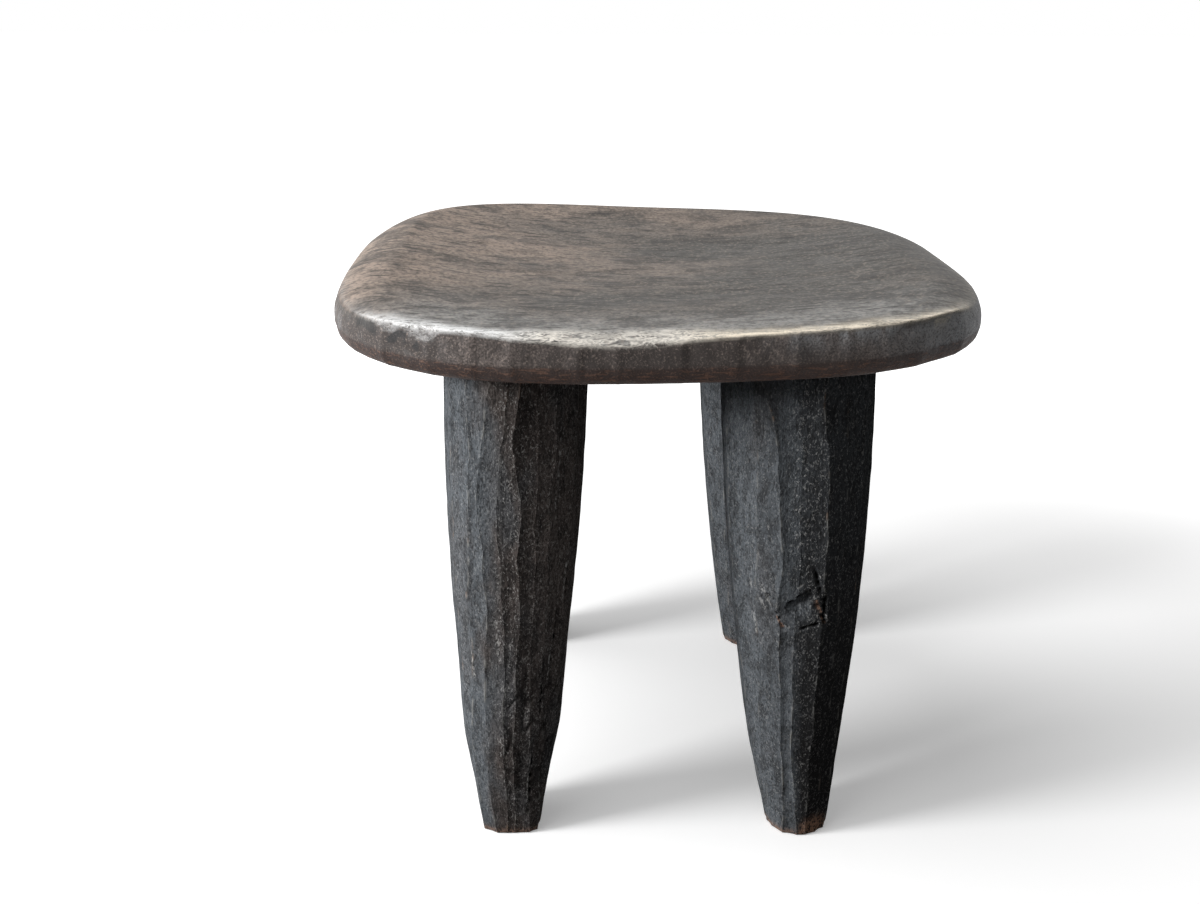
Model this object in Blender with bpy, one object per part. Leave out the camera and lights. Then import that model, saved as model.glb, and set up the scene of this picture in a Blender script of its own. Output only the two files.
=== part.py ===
"""A low four-legged stool hewn from dark hardwood.

A dished seat with a rolled rim stands on four stout legs that taper to small flat soles.
Each leg ends in a round stub tenon, which seats in a blind mortise under the seat.
Sizes are in metres, with +Z up, +X to the right and the front of the stool towards -Y.
"""

import math
import random
from dataclasses import dataclass

import bmesh
import bpy

# Seat
SEAT_WIDTH = 0.359
SEAT_DEPTH = 0.3366
EDGE_HEIGHT = 0.031        # underside to the mean height of the rim
DISH_DEPTH = 0.008         # hollow of the top, below the mean height of the rim
REAR_RISE = 0.0054         # the rear rim stands this much above the mean, the front rim below
RIM_TWIST = 0.0051         # the front right and rear left of the rim stand up, the others down
RIM_BOW = 0.0048           # the rim climbs this much to both ends
RIM_REACH = 0.0095         # rolled upper edge, measured inwards
END_REACH = 0.0235         # how much further in the edge rolls at both ends
RIM_DROP = 0.011           # rolled upper edge, measured down
END_ROUNDING = 0.9         # share of the upright wall that the roll takes up at both ends
UNDER_REACH = 0.0065       # rounded lower edge, measured inwards
UNDER_RISE = 0.0085        # rounded lower edge, measured up
BEVEL_LEAST = 0.002        # the bevel inside the lower edge is at least this wide
BEVEL_RUN = 2.2            # and runs in this much for each unit that the edge lifts
END_LIFT = 0.0051          # the lower edge climbs this much to both ends
LIFT_TILT = 0.0035         # and this much more to the right end, less to the left

# Squareness of the seat's corners in plan: 2 is an ellipse, more is squarer
FRONT_LEFT_SQUARENESS = 2.99
FRONT_RIGHT_SQUARENESS = 3.76
REAR_LEFT_SQUARENESS = 2.92
REAR_RIGHT_SQUARENESS = 2.85

# Legs
LEG_HEIGHT = 0.283         # sole to shoulder
LEG_INSET_X = 0.10335      # from the seat's edge in to a leg's centre at the shoulder
LEG_INSET_Y = 0.0673
LEG_SHIFT_X = 0.0021       # the middle of the four legs, from the middle of the seat
LEG_SHIFT_Y = -0.0016
SPLAY_X = 0.0081           # each foot stands this much further out than its shoulder
SPLAY_Y = 0.0121
FRONT_RIGHT_LEAN = 0.0041  # the front right shoulder leans in this much further
REAR_RIGHT_LEAN = -0.0027  # and the rear right one this much less
LEG_TOP_RADIUS = 0.0388
LEG_MID_RADIUS = 0.0337
LEG_FOOT_RADIUS = 0.0184
FRONT_RIGHT_GIRTH = 0.0035 # the front right leg is this much thicker at its shoulder
SOLE_ROUND = 0.002         # worn arris round the sole

# Hewn facets of a leg
FACETS = 13
FACET_JITTER = 0.24        # unevenness of the facets, as a share of one facet
FACET_LEAN = 0.16          # how far a ridge wanders round the leg, in radians
RIDGE_WAVE = 0.0008        # how far a ridge swells and sinks along the leg

# Joint between leg and seat
TENON_RADIUS = 0.019
TENON_LENGTH = 0.012
FIT_GAP = 0.0003           # clearance between touching faces

# Fineness of the meshes
SEAT_SIDES = 72
DISH_RINGS = 8
ROUND_STEPS = 4
UNDERSIDE_RINGS = 3
LEG_RINGS = 11
CUTTER_OVERRUN = 0.01
SEAT_SHARP_EDGE = math.radians(35)
LEG_SHARP_EDGE = math.radians(12)

UNDERSIDE_HEIGHT = LEG_HEIGHT + FIT_GAP
HALF_WIDTH = SEAT_WIDTH / 2
HALF_DEPTH = SEAT_DEPTH / 2

CORNERS = (
    (45, REAR_RIGHT_SQUARENESS),
    (135, REAR_LEFT_SQUARENESS),
    (225, FRONT_LEFT_SQUARENESS),
    (315, FRONT_RIGHT_SQUARENESS),
)


def clear_scene():
    """Remove every object that the file holds."""
    for thing in list(bpy.data.objects):
        bpy.data.objects.remove(thing, do_unlink=True)


def wood(name, colour, roughness):
    """A plain patinated wood material of one colour."""
    material = bpy.data.materials.new(name)
    material.use_nodes = True
    shader = material.node_tree.nodes["Principled BSDF"]
    shader.inputs["Base Color"].default_value = (*colour, 1.0)
    shader.inputs["Roughness"].default_value = roughness
    shader.inputs["Metallic"].default_value = 0.0
    material.diffuse_color = (*colour, 1.0)
    return material


def seat_wood():
    """Grey-brown wood of the seat, burnished by use."""
    return wood("seat_wood", (0.110, 0.088, 0.072), 0.45)


def leg_wood(leg_name):
    """Charcoal-dark wood of one leg, with an open grain."""
    return wood(leg_name + "_wood", (0.040, 0.039, 0.039), 0.62)


def stool_object(name, shape, material, place, parent, sharp_edge):
    """Put a finished shape in the scene as one named piece, smooth below the sharp edge's angle."""
    bmesh.ops.recalc_face_normals(shape, faces=shape.faces)
    mesh = bpy.data.meshes.new(name)
    shape.to_mesh(mesh)
    shape.free()
    mesh.shade_smooth()
    mesh.set_sharp_from_angle(angle=sharp_edge)
    mesh.materials.append(material)
    piece = bpy.data.objects.new(name, mesh)
    piece.location = place
    piece.parent = parent
    bpy.context.collection.objects.link(piece)
    return piece


def loft(shape, rings):
    """Skin a stack of rings, each a list of points, and return the rings as vertices."""
    skins = [[shape.verts.new(point) for point in ring] for ring in rings]
    for lower, upper in zip(skins, skins[1:]):
        for index in range(len(lower)):
            nearby = (index + 1) % len(lower)
            shape.faces.new((lower[index], lower[nearby], upper[nearby], upper[index]))
    return skins


def capped_loft(rings):
    """A closed shape skinned over a stack of rings, with a flat face at each end."""
    shape = bmesh.new()
    skins = loft(shape, rings)
    shape.faces.new(list(reversed(skins[0])))
    shape.faces.new(skins[-1])
    return shape


def close_with_fan(shape, ring, point):
    """Close a ring of vertices with triangles that meet at one point."""
    middle = shape.verts.new(point)
    for index in range(len(ring)):
        nearby = (index + 1) % len(ring)
        shape.faces.new((ring[index], ring[nearby], middle))


def squareness(angle):
    """Squareness of the seat's outline at an angle, blended between the four corners."""
    total = 0.0
    weights = 0.0
    for corner_degrees, corner_squareness in CORNERS:
        weight = max(0.0, math.cos(angle - math.radians(corner_degrees))) ** 2
        total += weight * corner_squareness
        weights += weight
    return total / weights


def seat_radius(angle):
    """Distance from the middle of the seat to its edge at an angle in plan."""
    power = squareness(angle)
    across = abs(math.cos(angle) / HALF_WIDTH) ** power
    along = abs(math.sin(angle) / HALF_DEPTH) ** power
    return (across + along) ** (-1 / power)


def rim_height(edge_x, edge_y):
    """Height of the rim's crown, which is out of level, in wind and bowed."""
    across = edge_x / HALF_WIDTH
    along = edge_y / HALF_DEPTH
    return EDGE_HEIGHT + REAR_RISE * along - RIM_TWIST * across * along + RIM_BOW * across ** 2


def lower_edge_height(edge_x):
    """Height of the seat's lower edge, which lifts to both ends."""
    across = edge_x / HALF_WIDTH
    return END_LIFT * across ** 2 + LIFT_TILT * across


def bevel_reach(edge_x):
    """How far in from the edge the flat of the underside starts."""
    return UNDER_REACH + BEVEL_LEAST + BEVEL_RUN * max(0.0, lower_edge_height(edge_x))


def rim_reach(edge_x):
    """How far in from the edge the rim's crown lies."""
    return RIM_REACH + END_REACH * (edge_x / HALF_WIDTH) ** 4


def rim_drop(edge_x, edge_y):
    """How far down the roll of the rim runs: further at the ends, where less wall is left."""
    wall = rim_height(edge_x, edge_y) - lower_edge_height(edge_x) - RIM_DROP - UNDER_RISE
    return RIM_DROP + END_ROUNDING * wall * (edge_x / HALF_WIDTH) ** 4


def seat_ring(inset, height):
    """One ring of the seat: both measures are functions of a point on the seat's edge."""
    ring = []
    for index in range(SEAT_SIDES):
        angle = 2 * math.pi * index / SEAT_SIDES
        edge = seat_radius(angle)
        edge_x = edge * math.cos(angle)
        edge_y = edge * math.sin(angle)
        share = 1 - inset(edge_x, edge_y) / edge
        ring.append((edge_x * share, edge_y * share, height(edge_x, edge_y)))
    return ring


def dish_ring(share):
    """A ring of the hollow top, at a share of the way from its middle to the rim's crown."""
    floor = EDGE_HEIGHT - DISH_DEPTH

    def inset(x, y):
        edge = math.hypot(x, y)
        return edge - share * (edge - rim_reach(x))

    def height(x, y):
        return floor + (rim_height(x, y) - floor) * share ** 2

    return seat_ring(inset, height)


def rolled_ring(turn):
    """A ring of the rolled rim, from a turn of 0 at its crown to a right angle at the wall."""

    def inset(x, y):
        return rim_reach(x) * (1 - math.sin(turn))

    def height(x, y):
        return rim_height(x, y) - rim_drop(x, y) * (1 - math.cos(turn))

    return seat_ring(inset, height)


def lower_edge_ring(turn):
    """A ring of the rounded lower edge, from a turn of 0 at the wall to a right angle below."""

    def inset(x, y):
        return UNDER_REACH * (1 - math.cos(turn))

    def height(x, y):
        return lower_edge_height(x) + UNDER_RISE * (1 - math.sin(turn))

    return seat_ring(inset, height)


def underside_ring(share):
    """A ring of the flat underside, at a share of the way from its middle to its bevel."""

    def inset(x, y):
        edge = math.hypot(x, y)
        return edge - share * (edge - bevel_reach(x))

    def height(x, y):
        return 0.0

    return seat_ring(inset, height)


def seat_rings():
    """Rings of the whole seat, from the middle of its top over the edge to the underside."""
    quarter = [math.pi / 2 * step / ROUND_STEPS for step in range(ROUND_STEPS + 1)]
    rings = [dish_ring(step / DISH_RINGS) for step in range(1, DISH_RINGS + 1)]
    rings += [rolled_ring(turn) for turn in quarter[1:]]
    rings += [lower_edge_ring(turn) for turn in quarter]
    rings += [underside_ring(step / UNDERSIDE_RINGS) for step in range(UNDERSIDE_RINGS, 0, -1)]
    return rings


@dataclass(frozen=True)
class LegPlan:
    """Where one leg stands, how far it leans in and how stout it is."""

    name: str
    seed: int
    side: int              # -1 on the left, 1 on the right
    end: int               # -1 at the front, 1 at the rear
    lean: float = 0.0      # how much further in its shoulder stands
    girth: float = 0.0     # how much thicker it is at its shoulder

    def foot(self):
        """Centre of the sole."""
        x = LEG_SHIFT_X + self.side * (HALF_WIDTH - LEG_INSET_X + SPLAY_X)
        y = LEG_SHIFT_Y + self.end * (HALF_DEPTH - LEG_INSET_Y + SPLAY_Y)
        return x, y

    def rise(self):
        """How far the shoulder stands from the sole, across and along."""
        return -self.side * (SPLAY_X + self.lean), -self.end * SPLAY_Y

    def shoulder(self):
        """Centre of the shoulder."""
        x, y = self.foot()
        across, along = self.rise()
        return x + across, y + along

    def radius(self, share):
        """Radius at a share of the height, on the curve through the three radii."""
        lower = LEG_FOOT_RADIUS * (1 - share) * (1 - 2 * share)
        middle = LEG_MID_RADIUS * 4 * share * (1 - share)
        upper = LEG_TOP_RADIUS * share * (2 * share - 1)
        return lower + middle + upper + self.girth * share


LEGS = (
    LegPlan("leg_front_left", 3, -1, -1),
    LegPlan("leg_front_right", 5, 1, -1, FRONT_RIGHT_LEAN, FRONT_RIGHT_GIRTH),
    LegPlan("leg_rear_left", 8, -1, 1),
    LegPlan("leg_rear_right", 13, 1, 1, REAR_RIGHT_LEAN),
)


def round_ring(centre, radius, height):
    """Points round a tenon or its mortise at one height."""
    points = []
    for index in range(2 * FACETS):
        angle = math.pi * index / FACETS
        x = centre[0] + radius * math.cos(angle)
        y = centre[1] + radius * math.sin(angle)
        points.append((x, y, height))
    return points


def mortise_cutter(seat, leg):
    """A hidden cylinder that cuts the blind mortise for one leg into the seat."""
    radius = TENON_RADIUS + FIT_GAP
    mouth = round_ring((0.0, 0.0), radius, -CUTTER_OVERRUN)
    floor = round_ring((0.0, 0.0), radius, TENON_LENGTH)
    place = (*leg.shoulder(), UNDERSIDE_HEIGHT)
    shape = capped_loft([mouth, floor])
    material = seat.data.materials[0]
    cutter = stool_object("mortise_cutter", shape, material, place, seat.parent, SEAT_SHARP_EDGE)
    cutter.hide_render = True
    cutter.display_type = "WIRE"
    cut = seat.modifiers.new("mortise", "BOOLEAN")
    cut.operation = "DIFFERENCE"
    cut.solver = "EXACT"
    cut.object = cutter


def make_seat(parent):
    """The dished seat with its rolled rim and four mortises."""
    shape = bmesh.new()
    rings = loft(shape, seat_rings())
    close_with_fan(shape, rings[0], (0.0, 0.0, EDGE_HEIGHT - DISH_DEPTH))
    close_with_fan(shape, rings[-1], (0.0, 0.0, 0.0))
    place = (0.0, 0.0, UNDERSIDE_HEIGHT)
    seat = stool_object("seat", shape, seat_wood(), place, parent, SEAT_SHARP_EDGE)
    for leg in LEGS:
        mortise_cutter(seat, leg)
    return seat


class HewnRidges:
    """The ridges between the facets of one leg, each with its own lean and swell."""

    def __init__(self, leg):
        """Draw the ridges of this leg."""
        self.leg = leg
        draw = random.Random(leg.seed)
        self.starts = [index + draw.uniform(-FACET_JITTER, FACET_JITTER) for index in range(FACETS)]
        self.leans = [draw.uniform(-FACET_LEAN, FACET_LEAN) for _ in range(FACETS)]
        self.phases = [draw.uniform(0, 2 * math.pi) for _ in range(FACETS)]

    def ring(self, share, shrink, centre, height):
        """Points round the leg at one height: each ridge, then the middle of its facet."""
        ridges = []
        for start, lean, phase in zip(self.starts, self.leans, self.phases):
            angle = 2 * math.pi * start / FACETS + lean * (share - 0.5)
            swell = RIDGE_WAVE * math.sin(2 * math.pi * share + phase)
            radius = self.leg.radius(share) + swell - shrink
            ridges.append((centre[0] + radius * math.cos(angle), centre[1] + radius * math.sin(angle)))
        points = []
        for index, (x, y) in enumerate(ridges):
            next_x, next_y = ridges[(index + 1) % FACETS]
            points.append((x, y, height))
            points.append(((x + next_x) / 2, (y + next_y) / 2, height))
        return points


def make_leg(leg, parent):
    """A tapering hewn leg with a flat sole, a shoulder and a stub tenon."""
    across, along = leg.rise()
    ridges = HewnRidges(leg)
    rings = [ridges.ring(0.0, SOLE_ROUND, (0.0, 0.0), 0.0)]
    for step in range(LEG_RINGS):
        height = SOLE_ROUND + (LEG_HEIGHT - SOLE_ROUND) * step / (LEG_RINGS - 1)
        share = height / LEG_HEIGHT
        rings.append(ridges.ring(share, 0.0, (across * share, along * share), height))
    rings.append(round_ring((across, along), TENON_RADIUS, LEG_HEIGHT))
    rings.append(round_ring((across, along), TENON_RADIUS, LEG_HEIGHT + TENON_LENGTH))
    place = (*leg.foot(), 0.0)
    return stool_object(leg.name, capped_loft(rings), leg_wood(leg.name), place, parent, LEG_SHARP_EDGE)


def make_stool():
    """Build the seat and its four legs under one empty."""
    clear_scene()
    stool = bpy.data.objects.new("stool", None)
    bpy.context.collection.objects.link(stool)
    make_seat(stool)
    for leg in LEGS:
        make_leg(leg, stool)


make_stool()
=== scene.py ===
"""Looks of a low stool hewn from dark hardwood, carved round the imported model.

The seat and the four legs are carved again over the model's solids at full fineness: a hollowed
seat with a rolled, worn rim, and legs hewn in long facets, one of them with a knot.
Lengths are in metres and angles in degrees, with +Z up, +X to the right and the front towards -Y.
"""

import logging
import math
from dataclasses import dataclass, field
from enum import Enum
from typing import Dict, List, Optional, Sequence, Tuple, Union

import bpy
import numpy as np
from mathutils import Matrix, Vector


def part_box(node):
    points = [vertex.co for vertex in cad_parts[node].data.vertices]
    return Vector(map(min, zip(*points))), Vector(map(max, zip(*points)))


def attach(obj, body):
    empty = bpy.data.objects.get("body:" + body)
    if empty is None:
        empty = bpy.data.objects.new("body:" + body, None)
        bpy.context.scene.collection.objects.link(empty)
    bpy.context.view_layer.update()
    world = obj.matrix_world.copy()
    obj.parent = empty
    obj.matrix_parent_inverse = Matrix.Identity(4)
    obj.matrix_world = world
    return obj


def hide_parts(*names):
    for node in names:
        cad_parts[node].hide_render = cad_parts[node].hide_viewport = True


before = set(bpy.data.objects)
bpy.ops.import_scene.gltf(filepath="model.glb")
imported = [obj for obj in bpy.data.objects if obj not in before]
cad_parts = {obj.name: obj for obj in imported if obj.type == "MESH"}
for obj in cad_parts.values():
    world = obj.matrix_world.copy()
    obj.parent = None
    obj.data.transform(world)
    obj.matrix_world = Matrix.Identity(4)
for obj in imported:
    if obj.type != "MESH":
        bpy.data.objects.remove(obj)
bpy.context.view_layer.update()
BODY = "root"

Array = np.ndarray
Socket = bpy.types.NodeSocket
Colour = Tuple[float, float, float]
Triple = Tuple[float, float, float]
Span = Tuple[float, float]
Feed = Union[Socket, float, Sequence[float]]

WHITE: Colour = (1.0, 1.0, 1.0)

log = logging.getLogger("stool")


def smooth_step(values: Array, low: float, high: float) -> Array:
    """Ease values from 0 at one level to 1 at another.

    Args:
        values: The values to ease.
        low: The level that becomes 0.
        high: The level that becomes 1.

    Returns:
        The eased values, between 0 and 1.
    """
    share = np.clip((values - low) / (high - low), 0.0, 1.0)
    return share * share * (3.0 - 2.0 * share)


def bump(values: Array, spread: float, middle: float = 0.0, power: int = 2) -> Array:
    """A smooth rise round one value.

    Args:
        values: The values.
        spread: How far from its middle the rise has mostly gone.
        middle: The value at which it is highest.
        power: How flat its top is, and how steep its sides.

    Returns:
        1 at the middle, falling to 0 on both sides.
    """
    return np.exp(-(((values - middle) / spread) ** power))


def angle_between(first: Array, second: Array) -> Array:
    """Signed turn from one angle to another by the shorter way.

    Args:
        first: Angles to start from.
        second: Angles to turn to.

    Returns:
        The turns, between -180 and 180 degrees.
    """
    return (second - first + 180.0) % 360.0 - 180.0


def ways_in_plan(angle: Array) -> Array:
    """Unit steps outwards in plan at these angles."""
    return np.stack([np.cos(np.radians(angle)), np.sin(np.radians(angle))], axis=-1)


def ripple(points: Array, length: float, seed: int, waves: int = 20) -> Array:
    """A smooth random field of about unit spread, summed from waves in all directions.

    Args:
        points: Points in space, with their three coordinates last.
        length: The usual distance from crest to crest.
        seed: Which field to draw.
        waves: How many waves to sum.

    Returns:
        The field's value at each point.
    """
    shortest = 0.6
    longest = 1.7
    draw = np.random.default_rng(seed)
    ways = draw.normal(size=(waves, 3))
    ways /= np.linalg.norm(ways, axis=1, keepdims=True)
    lengths = length * draw.uniform(shortest, longest, waves)
    phases = draw.uniform(0.0, 2.0 * math.pi, waves)
    total = np.zeros(points.shape[:-1])
    for way, crest_to_crest, phase in zip(ways, lengths, phases):
        total += np.cos(points @ way * (2.0 * math.pi / crest_to_crest) + phase)
    return total * math.sqrt(2.0 / waves)


def strip_faces(rows: Array, closed: bool = True) -> List[List[int]]:
    """Four-sided faces between neighbouring rows of vertices.

    Args:
        rows: Vertex numbers, one row below the other.
        closed: Whether each row runs round to its own start.

    Returns:
        The faces, facing outwards where rows run anticlockwise and from the top down.
    """
    upper = rows[:-1]
    lower = rows[1:]
    corners = [lower, np.roll(lower, -1, axis=1), np.roll(upper, -1, axis=1), upper]
    faces = np.stack(corners, axis=-1)
    if not closed:
        faces = faces[:, :-1]
    return faces.reshape(-1, 4).tolist()


def carved_piece(
    name: str,
    points: Array,
    faces: List[List[int]],
    marks: Dict[str, Array],
    material: bpy.types.Material,
) -> bpy.types.Object:
    """Put a carved mesh into the scene, with its marks for the material to read.

    Args:
        name: The piece's name.
        points: The vertices.
        faces: The faces, as vertex numbers.
        marks: A value at each vertex for each named kind of wear.
        material: The piece's finish.

    Returns:
        The new piece.
    """
    mesh = bpy.data.meshes.new(name)
    mesh.from_pydata(points.tolist(), [], faces)
    mesh.shade_smooth()
    for mark, values in marks.items():
        layer = mesh.attributes.new(mark, "FLOAT", "POINT")
        layer.data.foreach_set("value", np.asarray(values, np.float32))
    mesh.materials.append(material)
    piece = bpy.data.objects.new(name, mesh)
    bpy.context.scene.collection.objects.link(piece)
    return piece


@dataclass(frozen=True)
class Arc:
    """A stretch of a round, and the turn over which it fades in and out."""

    start: float
    end: float
    fade: float

    def share(self, angle: Array) -> Array:
        """How much angles lie within the stretch.

        Args:
            angle: Angles round it.

        Returns:
            1 within the stretch and 0 well outside it.
        """
        middle = (self.start + self.end) / 2.0
        off = np.abs(angle_between(middle, angle)) - (self.end - self.start) / 2.0
        return smooth_step(-off, -self.fade, self.fade)


@dataclass(frozen=True)
class Ripples:
    """Unevenness of a surface: its depth, its length from crest to crest, and its draw."""

    depth: float
    length: float
    seed: int
    squeeze: Triple = (1.0, 1.0, 1.0)

    def height(self, points: Array) -> Array:
        """The unevenness at these points."""
        return self.depth * ripple(points * self.squeeze, self.length, self.seed)


@dataclass(frozen=True)
class Pattern:
    """A cloudy pattern in a finish; a small share for an axis draws it out along that axis."""

    size: float
    squeeze: Triple
    shift: float
    detail: float = 3.0
    bend: float = 0.0


@dataclass(frozen=True)
class Ramp:
    """The levels between which a value eases, and the results that it eases between."""

    low: float = 0.0
    high: float = 1.0
    least: float = 0.0
    most: float = 1.0


@dataclass(frozen=True)
class Layer:
    """A colour laid on where a pattern passes from one level to another."""

    pattern: Pattern
    low: float
    high: float
    most: float
    paint: Colour


class Sum(Enum):
    """How two values in a finish are put together."""

    ADD = "ADD"
    TAKE = "SUBTRACT"
    TIMES = "MULTIPLY"
    MORE = "MAXIMUM"


class NodeSketch:
    """The nodes of a finish, with short ways to add those that the finishes share."""

    layer_share = 0.58
    shift_way: Triple = (1.0, 1.7, 2.3)

    def __init__(self, owner: Union[bpy.types.Material, bpy.types.World]) -> None:
        """Start on the nodes of a new material, or of new surroundings."""
        owner.use_nodes = True
        self.owner = owner
        self.tree = owner.node_tree
        self.drawn: Dict[Pattern, Socket] = {}

    def add(self, kind: str) -> bpy.types.Node:
        """Add a node of this kind."""
        return self.tree.nodes.new(kind)

    def feed(self, socket: Socket, value: Feed) -> None:
        """Give a socket its value.

        Args:
            socket: The socket to feed.
            value: Another node's output, a number, or a colour or vector.
        """
        if isinstance(value, Socket):
            self.tree.links.new(value, socket)
        elif isinstance(value, (int, float)):
            socket.default_value = value
        else:
            wanted = len(socket.default_value)
            socket.default_value = (*value, 1.0)[:wanted]

    def fill(self, node: bpy.types.Node, values: Dict[str, Feed]) -> None:
        """Give a node's sockets their values, by name."""
        for name, value in values.items():
            self.feed(node.inputs[name], value)

    def mark(self, name: str) -> Socket:
        """The values of one kind of wear, as the mesh carries them."""
        node = self.add("ShaderNodeAttribute")
        node.attribute_name = name
        return node.outputs["Fac"]

    def noise(self, pattern: Pattern) -> Socket:
        """Draw a cloudy pattern, once in each finish.

        Args:
            pattern: The pattern.

        Returns:
            Its values, mostly between 0.3 and 0.7.
        """
        if pattern in self.drawn:
            return self.drawn[pattern]
        where = self.add("ShaderNodeTexCoord")
        mapping = self.add("ShaderNodeMapping")
        self.fill(mapping, {
            "Vector": where.outputs["Object"],
            "Scale": pattern.squeeze,
            "Location": tuple(way * pattern.shift for way in self.shift_way),
        })
        node = self.add("ShaderNodeTexNoise")
        self.fill(node, {
            "Vector": mapping.outputs["Vector"],
            "Scale": 1.0 / pattern.size,
            "Detail": pattern.detail,
            "Roughness": self.layer_share,
            "Distortion": pattern.bend,
        })
        self.drawn[pattern] = node.outputs["Fac"]
        return node.outputs["Fac"]

    def band(self, value: Feed, ramp: Ramp = Ramp()) -> Socket:
        """Ease a value along a ramp.

        Args:
            value: The value to ease.
            ramp: The levels that it eases between.

        Returns:
            The eased value.
        """
        node = self.add("ShaderNodeMapRange")
        node.interpolation_type = "SMOOTHSTEP"
        self.fill(node, {
            "Value": value,
            "From Min": ramp.low,
            "From Max": ramp.high,
            "To Min": ramp.least,
            "To Max": ramp.most,
        })
        return node.outputs["Result"]

    def thread(self, value: Feed, level: float, width: float) -> Socket:
        """Thin curling lines, along which a pattern keeps to one level.

        Args:
            value: The pattern.
            level: The level that it keeps to.
            width: How far from that level a line still shows.

        Returns:
            1 in the middle of a line and 0 beside it.
        """
        rising = self.band(value, Ramp(level - width, level))
        falling = self.band(value, Ramp(level + width, level))
        return self.join(Sum.TIMES, rising, falling)

    def join(self, way: Sum, first: Feed, second: Feed) -> Socket:
        """Put two values together.

        Args:
            way: How they are put together.
            first: One value.
            second: The other value.

        Returns:
            The joint value.
        """
        node = self.add("ShaderNodeMath")
        node.operation = way.value
        self.feed(node.inputs[0], first)
        self.feed(node.inputs[1], second)
        return node.outputs["Value"]

    def blend(self, share: Feed, first: Feed, second: Feed) -> Socket:
        """Blend from one colour to another.

        Args:
            share: How much of the second colour shows.
            first: The colour at a share of 0.
            second: The colour at a share of 1.

        Returns:
            The blended colour.
        """
        node = self.add("ShaderNodeMix")
        node.data_type = "RGBA"
        self.feed(node.inputs[0], share)
        self.feed(node.inputs[6], first)
        self.feed(node.inputs[7], second)
        return node.outputs[2]

    def lay(self, colour: Feed, layers: Sequence[Layer]) -> Feed:
        """Lay colours on, one over the other.

        Args:
            colour: The colour below them.
            layers: The colours, and where each shows.

        Returns:
            The colour on top.
        """
        for layer in layers:
            ramp = Ramp(layer.low, layer.high, most=layer.most)
            colour = self.blend(self.band(self.noise(layer.pattern), ramp), colour, layer.paint)
        return colour

    def relief(self, height: Feed, depth: float, over: Optional[Socket] = None) -> Socket:
        """Fine relief of a surface.

        Args:
            height: The pattern of the relief.
            depth: Height of the pattern from its 0 to its 1.
            over: Coarser relief that it lies on, where there is any.

        Returns:
            The normal for a shader.
        """
        node = self.add("ShaderNodeBump")
        self.fill(node, {"Height": height, "Distance": depth, "Strength": 1.0})
        if over is not None:
            self.feed(node.inputs["Normal"], over)
        return node.outputs["Normal"]

    def seen(self) -> Socket:
        """Tell rays by which a surface is seen from those that only carry light.

        Returns:
            1 for rays from the camera, from a mirror or through glass, and 0 for others.
        """
        path = self.add("ShaderNodeLightPath")
        seen = path.outputs["Is Camera Ray"]
        for ray in ("Is Glossy Ray", "Is Transmission Ray"):
            seen = self.join(Sum.MORE, seen, path.outputs[ray])
        return seen

    def finish(self, colour: Feed, matt: Feed, shine: Feed, normal: Optional[Socket] = None) -> None:
        """Feed the surface's shader.

        Args:
            colour: Its colour.
            matt: How rough it is.
            shine: How strongly it mirrors.
            normal: Its fine relief, where there is any.
        """
        shader = self.tree.nodes["Principled BSDF"]
        self.fill(shader, {"Base Color": colour, "Roughness": matt, "Specular IOR Level": shine})
        if normal is not None:
            self.feed(shader.inputs["Normal"], normal)


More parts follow.
